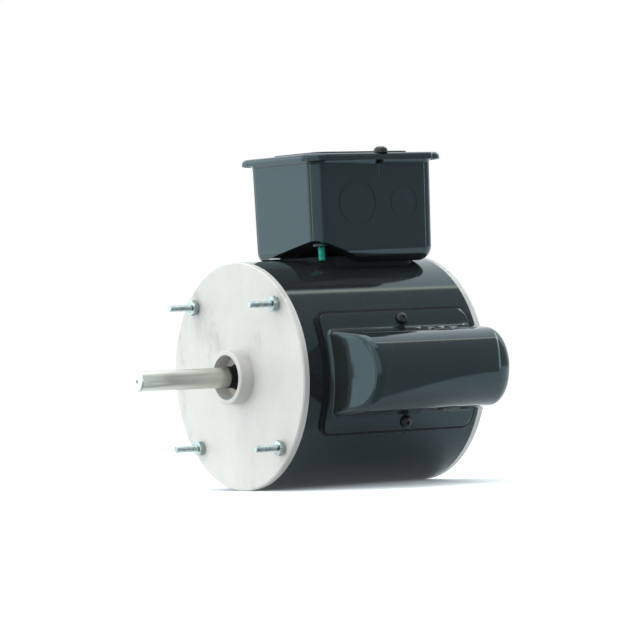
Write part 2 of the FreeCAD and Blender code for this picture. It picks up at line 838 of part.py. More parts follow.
def make_winding(label, radius, first_turn):
    """Two nested coils to each pole, with their end turns standing clear of the stack."""
    body = new_body(label)
    pieces = []
    for slots, rise, thick in ((3, "short_turn_rise", "short_turn_thick"),
                               (5, "long_turn_rise", "long_turn_thick")):
        span = f"({slots} * 360 / slot_count)"
        front = f"{STACK_Y} - {rise} - {thick}"
        rear = f"{STACK_END_Y} + {rise} + {thick}"
        for side in ("-", "+"):
            turn = f"{first_turn} {side} {span} / 2"
            pieces.append(coil_block(body, radius, front, rear, "coil_leg_angle", turn))
        arc = f"{span} + coil_leg_angle"
        pieces.append(coil_block(body, radius, front, f"{front} + {thick}", arc, first_turn))
        pieces.append(coil_block(body, radius, f"{rear} - {thick}", rear, arc, first_turn))
    around(body, pieces, "pole_count")
    return keep(body)


def make_thermal_protector():
    """Overload switch, tied against the main winding's end turns at the rear."""
    body = new_body("thermal_protector")
    start = f"{STACK_END_Y} + long_turn_rise + long_turn_thick"
    case = new_sketch(body, "XZ", start)
    low_z = f"{MAIN_R} + coil_height / 2 - protector_width / 2"
    draw_rectangle(case, "-protector_span / 2", "protector_span / 2", low_z,
                   f"{low_z} + protector_width", "protector_width / 3")
    pad(body, case, "protector_thick")
    return keep(body)


# ---------------------------------------------------------------- rotor

def make_shaft():
    """Stepped steel shaft: a plain round drive end, then ground journals past a relief groove."""
    rear_end = f"{REAR_Y} - housing_floor - rear_shaft_gap"
    return make_turned_ring("shaft", [
        ("0", "-shaft_reach + shaft_centre_hole"),
        ("shaft_centre_hole / 2", "-shaft_reach"),
        (f"{SHAFT_R} - shaft_chamfer", "-shaft_reach"),
        (SHAFT_R, "-shaft_reach + shaft_chamfer"),
        (SHAFT_R, "-collar_length"),
        (f"{SHAFT_R} - relief_depth", "-collar_length"),
        (f"{SHAFT_R} - relief_depth", "-collar_length + relief_width"),
        (JOURNAL_R, "-collar_length + relief_width"),
        (JOURNAL_R, SHOULDER),
        ("core_shaft_dia / 2", SHOULDER),
        ("core_shaft_dia / 2", f"{REAR_Y} - {SHOULDER}"),
        (JOURNAL_R, f"{REAR_Y} - {SHOULDER}"),
        (JOURNAL_R, f"{rear_end} - shaft_chamfer"),
        (f"{JOURNAL_R} - shaft_chamfer", rear_end),
        ("0", rear_end),
    ])


def draw_bar(sketch):
    """Section of one rotor bar on the +X side: wider towards the air gap."""
    outer_r = f"({ROTOR_R} - bar_depth)"
    draw_outline(sketch, [
        (f"{outer_r} - bar_height", "-bar_inner / 2"),
        (outer_r, "-bar_outer / 2"),
        (outer_r, "bar_outer / 2"),
        (f"{outer_r} - bar_height", "bar_inner / 2"),
    ])


def make_rotor_core():
    """Stack of rotor laminations, pressed on the shaft, with closed slots for the bars."""
    body = new_body("rotor_core")
    ring = new_sketch(body, "XZ", STACK_Y)
    draw_circle(ring, ROTOR_R)
    draw_circle(ring, "core_shaft_dia / 2")
    pad(body, ring, "stack_length")
    slot = new_sketch(body, "XZ", STACK_Y)
    draw_bar(slot)
    slots = pocket(body, slot, "stack_length")
    around(body, [slots], "bar_count")
    return keep(body)


def make_rotor_cage():
    """Cast aluminium bars and end rings, with cooling vanes on each ring."""
    body = new_body("rotor_cage")
    for start in (f"{STACK_Y} - ring_height", STACK_END_Y):
        ring = new_sketch(body, "XY")
        draw_rectangle(ring, f"{RING_R} - ring_width", RING_R, start, f"({start}) + ring_height")
        turned(body, ring)
    bar = new_sketch(body, "XZ", f"{STACK_Y} - ring_height / 2")
    draw_bar(bar)
    bars = pad(body, bar, "stack_length + ring_height")
    around(body, [bars], "bar_count")
    vanes = []
    for start in (f"{STACK_Y} - ring_height - vane_height", STACK_END_Y):
        vane = new_sketch(body, "XY", "-vane_thick / 2")
        draw_rectangle(vane, f"{RING_R} - ring_width + vane_inset", f"{RING_R} - vane_inset", start,
                       f"({start}) + ring_height + vane_height")
        vanes.append(pad(body, vane, "vane_thick"))
    around(body, vanes, "vane_count")
    return keep(body)


def make_slinger():
    """Rubber slinger on the shaft, which throws water off in front of the bearing."""
    foot = "-slinger_gap"
    return make_turned_ring("shaft_slinger", [
        (JOURNAL_R, foot),
        ("slinger_dia / 2", foot),
        ("slinger_dia / 2", f"{foot} - slinger_lip"),
        ("slinger_sleeve / 2", f"{foot} - 2 * slinger_lip"),
        ("slinger_sleeve / 2", f"{foot} - slinger_length"),
        (JOURNAL_R, f"{foot} - slinger_length"),
    ])


# ---------------------------------------------------------------- conduit box

def make_saddle():
    """Moulded block between the round shell and the flat floor of the conduit box."""
    body = new_body("box_saddle", y="box_y")
    block = new_sketch(body, "XY")
    half_x = "(box_width / 2 - saddle_side_inset)"
    front_y = "saddle_front_inset - box_length / 2"
    rear_y = f"{LEAD_HOLE_Y} + lead_hole / 2 + saddle_rear_wall"
    draw_rectangle(block, f"-{half_x}", half_x, front_y, rear_y, "saddle_round")
    pad(body, block, BOX_Z)
    shell = new_sketch(body, "XZ", "-box_length")
    draw_circle(shell, SHELL_R)
    pocket(body, shell, "2 * box_length")
    cut_floor_holes(body)
    return keep(body)


def cut_floor_holes(body):
    """Bores through a floor for the leads and for the two screws that hold the box down."""
    holes = new_sketch(body, "XY")
    draw_circle(holes, "lead_hole / 2", "0", LEAD_HOLE_Y)
    for y in BOX_SCREW_YS:
        draw_circle(holes, "saddle_screw_dia / 2 + fit_gap", "0", y)
    pocket(body, holes, BOX_TOP_Z)


def cut_lid_screw_holes(body, start, dia, depth):
    """Cuts upwards from a level for the two screws that hold the lid, one at each long side."""
    holes = new_sketch(body, "XY", start)
    draw_circle(holes, f"{dia} / 2", LID_SCREW_X, "lid_screw_y")
    draw_circle(holes, f"{dia} / 2", f"-{LID_SCREW_X}", "-lid_screw_y")
    pocket(body, holes, depth)


def add_tray(body, inset):
    """The box's body as a solid, drawn inwards: tapered walls and a rounded foot."""
    rim = new_sketch(body, "XY", BOX_TOP_Z)
    draw_centred(rim, f"box_width / 2 - {inset}", f"box_length / 2 - {inset}")
    block = pad(body, rim, f"box_height + box_foot_drop - {inset}", positive=False)
    top_z = value(BOX_TOP_Z)
    document.recompute()
    draft = body.newObject("PartDesign::Draft", f"{body.Name}_Draft")
    draft.Base = (block, faces_of(block.Shape, lambda face: not level(face, "Z", face.BoundBox.ZMax)))
    draft.NeutralPlane = (block, faces_of(block.Shape, lambda face: level(face, "Z", top_z)))
    draft.setExpression("Angle", bound("atan(box_draft / box_height)"))
    draft.Reversed = True
    rounded(body, lambda edge: not level(edge, "Z", top_z), f"box_round - {inset}")


def raise_floor(body, wider, thicker):
    """Takes the tray's floor away along its middle, where it is pressed up over the saddle."""
    channel = new_sketch(body, "XY", BOX_FOOT_Z)
    draw_centred(channel, f"box_width / 2 - saddle_side_inset + saddle_side_gap + {wider}", "box_length")
    pocket(body, channel, f"box_foot_drop + {thicker}")


def make_conduit_box():
    """Drawn steel box with a rim flange, scored knockouts and a dent for the ground screw.

    Its sides hang lower than the middle of its floor, which is raised to sit on the saddle."""
    outer = new_body("box_outside", y="box_y")
    add_tray(outer, "0")
    raise_floor(outer, "0", "0")
    dent = new_sketch(outer, "XY", BOX_FOOT_Z)
    draw_circle(dent, "ground_dent_dia / 2", GROUND_X, GROUND_Y)
    pocket(outer, dent, "box_foot_drop + ground_dent_depth")
    dent_z = f"({BOX_Z} + ground_dent_depth)"
    ceiling = value(dent_z)
    quarter_turn = value("pi * ground_dent_dia / 4")
    rounded(outer, lambda edge: level(edge, "Z", ceiling) and edge.Length < quarter_turn,
            "ground_dent_round")
    rim = new_sketch(outer, "XY", dent_z)
    draw_circle(rim, "ground_rim_dia / 2", GROUND_X, GROUND_Y)
    pad(outer, rim, "ground_rim_height", positive=False)

    flange = new_sketch(outer, "XY", f"{BOX_TOP_Z} - box_flange_thick")
    draw_centred(flange, "box_width / 2 + box_flange", "box_length / 2 + box_flange",
                 "lid_corner - lid_overhang")
    pad(outer, flange, "box_flange_thick")
    flange_z = value(f"{BOX_TOP_Z} - box_flange_thick")
    rounded(outer, lambda edge: level(edge, "Z", flange_z) and is_at_wall(edge), "box_flange_root")
    cut_lid_screw_holes(outer, f"({BOX_TOP_Z} - lid_screw_length)", "lid_screw_dia",
                        "2 * lid_screw_length")

    score = new_sketch(outer, "YZ", "box_width / 2 - box_draft - knockout_depth")
    for dia, y in (("large_knockout", "large_knockout_y"), ("small_knockout", "small_knockout_y")):
        draw_circle(score, f"{dia} / 2", y, f"{BOX_Z} + knockout_rise")
        draw_circle(score, f"{dia} / 2 - knockout_slit", y, f"{BOX_Z} + knockout_rise")
    scores = pocket(outer, score, "box_draft + 2 * knockout_depth")
    around(outer, [scores], "2", role="Z_Axis")

    screw_hole = new_sketch(outer, "XY")
    draw_circle(screw_hole, "ground_screw_dia / 2", GROUND_X, GROUND_Y)
    pocket(outer, screw_hole, BOX_TOP_Z)
    cut_floor_holes(outer)

    inner = new_body("box_inside", y="box_y")
    add_tray(inner, "box_wall")
    raise_floor(inner, "box_wall", "box_wall")
    shelf = new_sketch(inner, "XY", BOX_FOOT_Z)
    draw_circle(shelf, "ground_dent_dia / 2 + box_wall", GROUND_X, GROUND_Y)
    pocket(inner, shelf, "box_foot_drop + ground_dent_depth + box_wall")
    box = combine("Cut", "conduit_box", outer, inner)
    box.Label = "conduit_box"
    return keep(box)


def is_at_wall(edge):
    """Whether an edge under the box's flange runs along the walls, and not round the rim."""
    middle = edge.CenterOfMass
    return (abs(middle.x) < value("box_width / 2") + SLACK
            and abs(middle.y) < value("box_length / 2") + SLACK)


def make_lid():
    """Drawn lid: a lip turned down over the box's flange and a raised panel in the middle."""
    body = new_body("conduit_box_lid", y="box_y")
    under_z = f"({LID_TOP_Z} - lid_depth)"
    pan = new_sketch(body, "XY", under_z)
    draw_centred(pan, LID_HALF_X, LID_HALF_Y, "lid_corner")
    pad(body, pan, "lid_depth")
    top_z = value(LID_TOP_Z)
    bottom_z = value(under_z)
    rounded(body, lambda edge: level(edge, "Z", top_z), "lid_round")
    hollowed(body, lambda face: level(face, "Z", bottom_z), "lid_wall")
    panel = new_sketch(body, "XY", f"{LID_TOP_Z} - lid_wall / 2")
    half = (f"{LID_HALF_X} - lid_panel_margin", f"{LID_HALF_Y} - lid_panel_margin")
    draw_centred(panel, *half, "lid_panel_corner")
    pad(body, panel, "lid_panel_rise + lid_wall / 2")
    under = new_sketch(body, "XY", f"{LID_TOP_Z} - 2 * lid_wall")
    draw_centred(under, *(f"{size} - lid_wall" for size in half), "lid_panel_corner - lid_wall")
    pocket(body, under, "lid_wall + lid_panel_rise")
    panel_z = value(f"{LID_TOP_Z} + lid_panel_rise")
    rounded(body, lambda edge: level(edge, "Z", panel_z), "lid_panel_round")
    cut_lid_screw_holes(body, under_z, "lid_screw_hole", "2 * lid_depth")
    return keep(body)


def make_lid_gasket():
    """Flat rubber gasket on the box's flange, notched where the lid's screws pass."""
    body = new_body("lid_gasket", y="box_y")
    ring = new_sketch(body, "XY", BOX_TOP_Z)
    draw_centred(ring, "box_width / 2 + box_flange - lid_gasket_inset",
                 "box_length / 2 + box_flange - lid_gasket_inset",
                 "lid_corner - lid_overhang - lid_gasket_inset")
    draw_centred(ring, "box_width / 2 - box_wall", "box_length / 2 - box_wall", "box_round - box_wall")
    pad(body, ring, "lid_gasket_thick")
    cut_lid_screw_holes(body, BOX_TOP_Z, "lid_screw_hole", "lid_gasket_thick")
    return keep(body)


def make_screws(label, seat, head_dia, head_height, dia, length, centres, **where):
    """Round-headed screws along Z, their heads standing on the plane z = seat."""
    body = new_body(label, **where)
    shank = new_sketch(body, "XY", f"{seat} - ({length})")
    head = new_sketch(body, "XY", seat)
    for x, y in centres:
        draw_circle(shank, f"{dia} / 2", x, y)
        draw_circle(head, f"{head_dia} / 2", x, y)
    pad(body, shank, f"{length} + {head_height} / 2")
    pad(body, head, head_height)
    crown = value(f"{seat} + {head_height}")
    rounded(body, lambda edge: level(edge, "Z", crown), f"{head_height} * head_crown")
    return keep(body)


def make_bushing():
    """Snap bushing that lines the port from the shell into the box."""
    body = new_body("lead_bushing", y=f"box_y + {LEAD_HOLE_Y}")
    floor_z = f"({BOX_Z} + box_wall)"
    inner_r = "lead_hole / 2 - fit_gap - bushing_wall"
    barrel = new_sketch(body, "XY", f"{floor_z} - bushing_length")
    draw_circle(barrel, "lead_hole / 2 - fit_gap")
    draw_circle(barrel, inner_r)
    pad(body, barrel, "bushing_length + bushing_flange_thick")
    flange = new_sketch(body, "XY", floor_z)
    draw_circle(flange, "bushing_flange / 2")
    draw_circle(flange, inner_r)
    pad(body, flange, "bushing_flange_thick")
    return keep(body)


def make_ground_screw():
    """Green hexagon-headed ground screw, driven down through the dent in the box's floor."""
    body = new_body("ground_screw", x=GROUND_X, y=f"box_y + {GROUND_Y}")
    seat = f"({BOX_Z} + ground_dent_depth + box_wall)"
    shank = new_sketch(body, "XY", f"{seat} - ground_screw_length")
    draw_circle(shank, "ground_screw_dia / 2")
    pad(body, shank, "ground_screw_length + ground_flange_thick")
    flange = new_sketch(body, "XY", seat)
    draw_circle(flange, "ground_flange_dia / 2")
    pad(body, flange, "ground_flange_thick")
    head = new_sketch(body, "XY", seat)
    draw_hexagon(head, "ground_head_flats")
    pad(body, head, "ground_head_height")
    return keep(body)


# ---------------------------------------------------------------- capacitor and its cover

def make_cover_gasket():
    """Curved rubber gasket under the cover's flange, showing all round it."""
    body = new_body("capacitor_gasket")
    sheet_section = new_sketch(body, "XY")
    draw_rectangle(sheet_section, SHELL_R, FLANGE_R, "cover_front - gasket_margin",
                   f"{COVER_REAR} + gasket_margin")
    wider = "(360 deg * gasket_margin / (pi * shell_dia))"
    turned(body, sheet_section, angle=f"{COVER_FLANGE_ANGLE} + 2 * {wider}")
    window = new_sketch(body, "YZ")
    margin = "(cover_front_inset + cover_wall)"
    draw_rectangle(window, f"cover_front + {margin}", f"{COVER_REAR} - {margin}",
                   "-cover_crown_radius", "cover_crown_radius", "cover_flange_corner")
    pocket(body, window, "shell_dia")
    cut_cover_screw_holes(body)
    return keep(body)


def cut_cover_screw_holes(body):
    for side in ("-", "+"):
        hole = new_sketch(body, "YZ", turn=f"{side}{COVER_SCREW_TURN}")
        draw_circle(hole, "cover_screw_dia / 2 + fit_gap", COVER_SCREW_Y, "0")
        pocket(body, hole, "shell_dia")


def add_dome(body, inward):
    """The cover's dome, as a solid drawn inwards: drafted sides, round crown, sloped front."""
    radius = f"(cover_crown_radius - {inward})"
    apex = f"({CROWN_X} - cover_crown_radius + {radius} / sin(cover_draft))"
    base = f"({SHELL_R} - cover_root)"
    half = f"({apex} - {base}) * tan(cover_draft)"
    front = f"(cover_front + cover_front_inset + {inward})"
    rear = f"({COVER_REAR} - cover_rear_inset - {inward})"
    crown = new_sketch(body, "XZ", front)
    draw_outline(crown, [(base, half), (base, f"-{half}"), (apex, "0", radius)])
    pad(body, crown, f"{rear} - {front}")
    slope = new_sketch(body, "XY", "-shell_dia")
    far = f"(2 * {CROWN_X})"
    draw_outline(slope, [
        (FLANGE_R, f"{front} - cover_wall"),
        (FLANGE_R, front),
        (far, f"{front} + ({far} - {FLANGE_R}) * tan(cover_front_slope)"),
        (far, f"{front} - cover_wall"),
    ])
    pocket(body, slope, "2 * shell_dia")
    document.recompute()
    rear_y = value(rear)
    crown_r = value(SHELL_R)
    rounded(body, lambda edge: level(edge, "Y", rear_y) and edge.BoundBox.XMax > crown_r,
            f"cover_rear_round - {inward}")
    document.recompute()
    front_y = value(front)
    slope_x = value(FLANGE_R) - SLACK
    turn_y = (front_y + rear_y) / 2
    rounded(body, lambda edge: on_slope(edge, slope_x, turn_y), f"cover_front_round - {inward}")


def on_slope(edge, low_x, high_y):
    """Whether an edge bounds the dome's sloped front, and isn't one of its straight feet."""
    box = edge.BoundBox
    runs_up = box.XMin >= low_x and box.XLength > 1
    return runs_up and box.YMax < high_y and box.YLength < box.XLength


def make_cover():
    """Drawn steel cover: a flange rolled to fit the shell round a domed capacitor space."""
    outer = new_body("cover_outside")
    add_dome(outer, "0")
    inside = new_sketch(outer, "XZ", "0")
    draw_circle(inside, FLANGE_R)
    pocket(outer, inside, REAR_Y)
    flange = new_sketch(outer, "XY")
    draw_rectangle(flange, FLANGE_R, f"{FLANGE_R} + cover_wall", "cover_front", COVER_REAR)
    turned(outer, flange, angle=COVER_FLANGE_ANGLE)
    document.recompute()
    rounded(outer, is_flange_corner, "cover_flange_corner")
    cut_cover_screw_holes(outer)
    inner = new_body("cover_inside")
    add_dome(inner, "cover_wall")
    cover = combine("Cut", "capacitor_cover", outer, inner)
    cover.Label = "capacitor_cover"
    return keep(cover)


def is_flange_corner(edge):
    """Whether an edge is one of the four short ones across the flange's thickness."""
    box = edge.BoundBox
    flat = box.YLength < SLACK
    middle = abs(edge.CenterOfMass.z) > value("cover_crown_radius")
    return flat and middle and abs(edge.Length - value("cover_wall")) < SLACK


def make_cover_screws():
    """Two screws that hold the cover and its gasket to the shell."""
    body = new_body("cover_screws")
    seat = f"({FLANGE_R} + cover_wall)"
    for side in ("-", "+"):
        turn = f"{side}{COVER_SCREW_TURN}"
        shank = new_sketch(body, "YZ", f"{seat} - cover_screw_length", turn=turn)
        draw_circle(shank, "cover_screw_dia / 2", COVER_SCREW_Y, "0")
        pad(body, shank, "cover_screw_length + cover_screw_head_height / 2")
        head = new_sketch(body, "YZ", seat, turn=turn)
        draw_circle(head, "cover_screw_head / 2", COVER_SCREW_Y, "0")
        pad(body, head, "cover_screw_head_height")
    return keep(body)


def make_capacitor():
    """Run capacitor: a rolled can with an insulating top and a pair of double blades."""
    where = {"x": CAPACITOR_X, "y": CAPACITOR_Y}
    radius = "capacitor_dia / 2"
    make_turned_ring("capacitor_can", [
        ("0", "capacitor_top_thick"),
        (f"{radius} - capacitor_roll", "capacitor_top_thick"),
        (f"{radius} - capacitor_roll", "0"),
        (radius, "0", "capacitor_roll / 2"),
        (radius, "capacitor_length", "2 * capacitor_roll"),
        ("0", "capacitor_length"),
    ], **where)
    make_turned_ring("capacitor_top", [
        ("0", "0"),
        (f"{radius} - capacitor_roll", "0"),
        (f"{radius} - capacitor_roll", "capacitor_top_thick"),
        ("0", "capacitor_top_thick"),
    ], **where)
    blades = new_body("capacitor_terminals", **where)
    section = new_sketch(blades, "XZ", "-terminal_height")
    for side in ("-", "+"):
        for row in ("-", "+"):
            x = f"{row}terminal_pitch / 4"
            z = f"{side}terminal_pitch / 2"
            draw_rectangle(section, f"{x} - terminal_thick / 2", f"{x} + terminal_thick / 2",
                           f"{z} - terminal_width / 2", f"{z} + terminal_width / 2")
    pad(blades, section, "terminal_height")
    keep(blades)


def make_capacitor_bed():
    """Foam strip that the can lies on, between it and the shell."""
    body = new_body("capacitor_bed", y=f"{CAPACITOR_Y} + capacitor_length / 2")
    strip = new_sketch(body, "XY", "-bed_width / 2")
    draw_rectangle(strip, f"{SHELL_R} - bed_thick", CAPACITOR_X, "-bed_length / 2", "bed_length / 2")
    pad(body, strip, "bed_width")
    hollow = new_sketch(body, "XZ", "-bed_length")
    draw_circle(hollow, SHELL_R)
    pocket(body, hollow, "2 * bed_length")
    can = new_sketch(body, "XZ", "-bed_length")
    draw_circle(can, "capacitor_dia / 2", CAPACITOR_X, "0")
    pocket(body, can, "2 * bed_length")
    return keep(body)


def make_port_grommet():
    """Rubber grommet in the shell, where the capacitor's leads pass."""
    body = new_body("lead_grommet", y=LEAD_PORT_Y)
    inner_r = "lead_port_dia / 2 - port_grommet_wall"
    barrel = new_sketch(body, "YZ", f"{BORE_R} - port_grommet_thick")
    draw_circle(barrel, "lead_port_dia / 2")
    draw_circle(barrel, inner_r)
    pad(body, barrel, "shell_wall + 2 * port_grommet_thick")
    flange = new_sketch(body, "YZ", SHELL_R)
    draw_circle(flange, "port_grommet_flange / 2")
    draw_circle(flange, inner_r)
    pad(body, flange, "port_grommet_thick")
    return keep(body)


# ---------------------------------------------------------------- assembly

def make_motor():
    make_shell()
    facing_in = {"y": REAR_Y, "rotation": Rotation(Vector(0, 0, 1), 180)}
    make_end_bell("drive_end_bell", "drive_rim", True)
    make_end_bell("rear_end_bell", "rear_rim", False, **facing_in)
    make_through_bolts()
    make_stud_hardware()
    make_bearing_set("drive")
    make_bearing_set("rear", **facing_in)
    make_stator_core()
    make_slot_liners()
    make_winding("main_winding", MAIN_R, "0")
    make_winding("start_winding", START_R, "180 / pole_count")
    make_thermal_protector()
    make_shaft()
    make_rotor_core()
    make_rotor_cage()
    make_slinger()
    make_saddle()
    make_conduit_box()
    make_lid()
    make_lid_gasket()
    make_screws("lid_screws", LID_TOP_Z, "lid_screw_head", "lid_screw_head_height", "lid_screw_dia",
                "lid_screw_length", [(LID_SCREW_X, "lid_screw_y"), (f"-{LID_SCREW_X}", "-lid_screw_y")],
                y="box_y")
    make_screws("box_screws", f"({BOX_Z} + box_wall)", "saddle_screw_head", "saddle_screw_head_height",
                "saddle_screw_dia", "box_wall + saddle_rise + shell_wall",
                [("0", y) for y in BOX_SCREW_YS], y="box_y")
    make_bushing()
    make_ground_screw()
    make_cover_gasket()
    make_cover()
    make_cover_screws()
    make_capacitor()
    make_capacitor_bed()
    make_port_grommet()


def check_and_write():
    """Stops on any failed object or bad shape, then writes each sub-part to its own file."""
    document.recompute()
    failed = [thing.Name for thing in document.Objects if {"Invalid", "Error"} & set(thing.State)]
    if failed:
        raise RuntimeError("failed objects: " + ", ".join(failed))
    for part in subparts:
        if part.Shape.isNull() or not part.Shape.isValid():
            raise RuntimeError("bad shape: " + part.Label)
    os.makedirs("parts", exist_ok=True)
    for part in subparts:
        part.Shape.exportStep(f"parts/{part.Label}.step")
        print(f"{part.Label}: {len(part.Shape.Solids)} solid(s), {part.Shape.Volume:.1f} mm3")


make_motor()
check_and_write()
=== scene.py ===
import json
import math

import bmesh
import bpy
from mathutils import Matrix, Vector


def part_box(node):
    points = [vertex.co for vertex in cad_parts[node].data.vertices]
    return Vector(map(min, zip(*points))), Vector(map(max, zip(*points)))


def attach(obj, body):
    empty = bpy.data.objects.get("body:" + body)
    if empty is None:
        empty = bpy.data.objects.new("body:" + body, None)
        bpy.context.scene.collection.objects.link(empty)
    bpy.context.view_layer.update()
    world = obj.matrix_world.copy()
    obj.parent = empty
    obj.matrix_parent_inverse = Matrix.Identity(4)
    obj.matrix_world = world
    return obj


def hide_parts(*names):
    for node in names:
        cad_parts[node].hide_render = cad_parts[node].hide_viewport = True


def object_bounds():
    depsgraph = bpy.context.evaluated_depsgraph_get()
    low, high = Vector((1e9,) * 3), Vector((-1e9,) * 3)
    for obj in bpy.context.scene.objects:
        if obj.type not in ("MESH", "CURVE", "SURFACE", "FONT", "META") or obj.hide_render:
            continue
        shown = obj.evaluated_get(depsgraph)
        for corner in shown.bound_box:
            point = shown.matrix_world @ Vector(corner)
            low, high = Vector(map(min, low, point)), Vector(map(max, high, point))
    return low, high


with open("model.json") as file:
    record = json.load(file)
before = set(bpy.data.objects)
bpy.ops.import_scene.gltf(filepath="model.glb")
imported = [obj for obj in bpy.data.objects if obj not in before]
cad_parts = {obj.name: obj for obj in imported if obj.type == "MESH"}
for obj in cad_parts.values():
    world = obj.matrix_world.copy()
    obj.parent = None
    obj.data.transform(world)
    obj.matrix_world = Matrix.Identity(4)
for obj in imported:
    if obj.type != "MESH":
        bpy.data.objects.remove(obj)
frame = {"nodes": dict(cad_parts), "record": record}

# The looks of a fan-duty electric motor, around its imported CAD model.
# The shaft's axis is Y with the drive end at -Y, the conduit box is on +Z and the cover on +X.
# The camera and the studio are in metres. The pieces are worked out in millimetres and are scaled
# as they become meshes.

CAD_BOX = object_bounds()
MM = 0.001
SLOTS = {part["node"]: part["material_slot"] for part in frame["record"]["subparts"]}

# ---------------------------------------------------------------- camera

CAMERA_AZIMUTH = 54.70
CAMERA_ELEVATION = -0.149
CAMERA_ROLL = -2.485
CAMERA_LENS_MM = 244.46
CAMERA_DISTANCE = 2.7483
CAMERA_REACH = 50
AIM = Vector((0.00204, 0.06289, 0.03337))


def direction(azimuth, elevation):
    """A unit vector, by degrees round from -Y towards +X and degrees up."""
    a, e = math.radians(azimuth), math.radians(elevation)
    return Vector((math.sin(a) * math.cos(e), -math.cos(a) * math.cos(e), math.sin(e)))


def make_camera():
    """A long lens, nearly level with the shaft, rolled a little as it was held."""
    back = direction(CAMERA_AZIMUTH, CAMERA_ELEVATION)
    azimuth, roll = math.radians(CAMERA_AZIMUTH), math.radians(CAMERA_ROLL)
    level_right = Vector((math.cos(azimuth), math.sin(azimuth), 0))
    level_up = back.cross(level_right)
    right = math.cos(roll) * level_right + math.sin(roll) * level_up
    up = math.cos(roll) * level_up - math.sin(roll) * level_right
    turn = Matrix((right, up, back)).transposed()
    camera = bpy.data.objects.new("camera", bpy.data.cameras.new("camera"))
    camera.data.lens = CAMERA_LENS_MM
    camera.data.clip_end = CAMERA_REACH
    camera.matrix_world = Matrix.Translation(AIM + back * CAMERA_DISTANCE) @ turn.to_4x4()
    bpy.context.scene.collection.objects.link(camera)
    bpy.context.scene.camera = camera


# ---------------------------------------------------------------- shader nodes

def new_material(name):
    """A material, its node tree and its shader."""
    material = bpy.data.materials.new(name)
    material.use_nodes = True
    tree = material.node_tree
    return material, tree, tree.nodes["Principled BSDF"]


def node(tree, kind, **values):
    """A shader node, with its inputs or settings filled in by name."""
    made = tree.nodes.new(kind)
    for key, value in values.items():
        label = key.replace("_", " ").title()
        if label in made.inputs:
            made.inputs[label].default_value = value
        else:
            setattr(made, key, value)
    return made


def coordinates(tree, space):
    """The x, y and z of one of the texture coordinates."""
    place = node(tree, "ShaderNodeTexCoord")
    split = node(tree, "ShaderNodeSeparateXYZ")
    tree.links.new(place.outputs[space], split.inputs["Vector"])
    return [split.outputs[axis] for axis in "XYZ"]


def noise(tree, scale, detail=3.0, roughness=0.5, stretch=(1, 1, 1)):
    """Noise in the object's own space. Its scale counts features along a metre."""
    place = node(tree, "ShaderNodeTexCoord")
    mapping = node(tree, "ShaderNodeMapping")
    mapping.inputs["Scale"].default_value = stretch
    tree.links.new(place.outputs["Object"], mapping.inputs["Vector"])
    made = node(tree, "ShaderNodeTexNoise", scale=scale, detail=detail, roughness=roughness)
    tree.links.new(mapping.outputs["Vector"], made.inputs["Vector"])
    return made.outputs["Fac"]


def ramp(tree, source, stops):
    """Maps a value onto colours, given as (position, (r, g, b))."""
    made = node(tree, "ShaderNodeValToRGB")
    elements = made.color_ramp.elements
    while len(elements) < len(stops):
        elements.new(1.0)
    for element, (position, colour) in zip(elements, stops):
        element.position = position
        element.color = (*colour, 1)
    tree.links.new(source, made.inputs["Fac"])
    return made.outputs["Color"]


def spread(tree, source, low, high, start=0.3, end=0.7):
    """Maps a value onto plain numbers: low where it is start or less, high where it is end or more."""
    made = node(tree, "ShaderNodeMapRange")
    made.inputs["From Min"].default_value = start
    made.inputs["From Max"].default_value = end
    made.inputs["To Min"].default_value = low
    made.inputs["To Max"].default_value = high
    tree.links.new(source, made.inputs["Value"])
    return made.outputs["Result"]


def maths(tree, operation, *values):
    """One step of arithmetic on values that are each a socket or a number."""
    made = node(tree, "ShaderNodeMath", operation=operation)
    for place, value in zip(made.inputs, values):
        if isinstance(value, (int, float)):
            place.default_value = value
        else:
            tree.links.new(value, place)
    return made.outputs["Value"]


def mixed(tree, factor, low, high):
    """A blend of two colours, each a socket or a constant."""
    made = node(tree, "ShaderNodeMix", data_type="RGBA")
    tree.links.new(factor, made.inputs["Factor"])
    for place, value in (("A", low), ("B", high)):
        socket = [one for one in made.inputs if one.name == place and one.type == "RGBA"][0]
        if isinstance(value, tuple):
            socket.default_value = (*value, 1)
        else:
            tree.links.new(value, socket)
    return [one for one in made.outputs if one.type == "RGBA"][0]


def edge_wear(tree, low=0.53, high=0.62):
    """1 on the convex edges of a mesh and 0 on its flats."""
    geometry = node(tree, "ShaderNodeNewGeometry")
    return spread(tree, geometry.outputs["Pointiness"], 0, 1, low, high)


def bump(tree, shader, source, height):
    """Raises the surface by up to height, in metres, where source is 1. Bumps add up."""
    made = node(tree, "ShaderNodeBump")
    made.inputs["Strength"].default_value = 1.0
    made.inputs["Distance"].default_value = height
    before = shader.inputs["Normal"].links
    if before:
        tree.links.new(before[0].from_socket, made.inputs["Normal"])
    tree.links.new(source, made.inputs["Height"])
    tree.links.new(made.outputs["Normal"], shader.inputs["Normal"])


# ---------------------------------------------------------------- studio

FLOOR_Z = CAD_BOX[0].z
FLOOR_HALF = 6.0
FLOOR_WHITE = (0.86, 0.88, 0.90, 1)
FLOOR_GLOW = 0.10
FLOOR_GLOW_WHITE = (0.92, 0.97, 1.0, 1)
# Where x - y passes this, only the camera sees the floor
FLOOR_LINE = 0.048
FLOOR_LINE_BLUR = 0.002

# Strengths of the parts of the studio that the motor reflects
BRIGHT_LOW = 1.0
BRIGHT_HIGH = 1.75
DIM = 0.55
BELOW = 0.5
NEAR_SIDE = 1.15
SEAM = 3.2
DOORWAY = 6.0
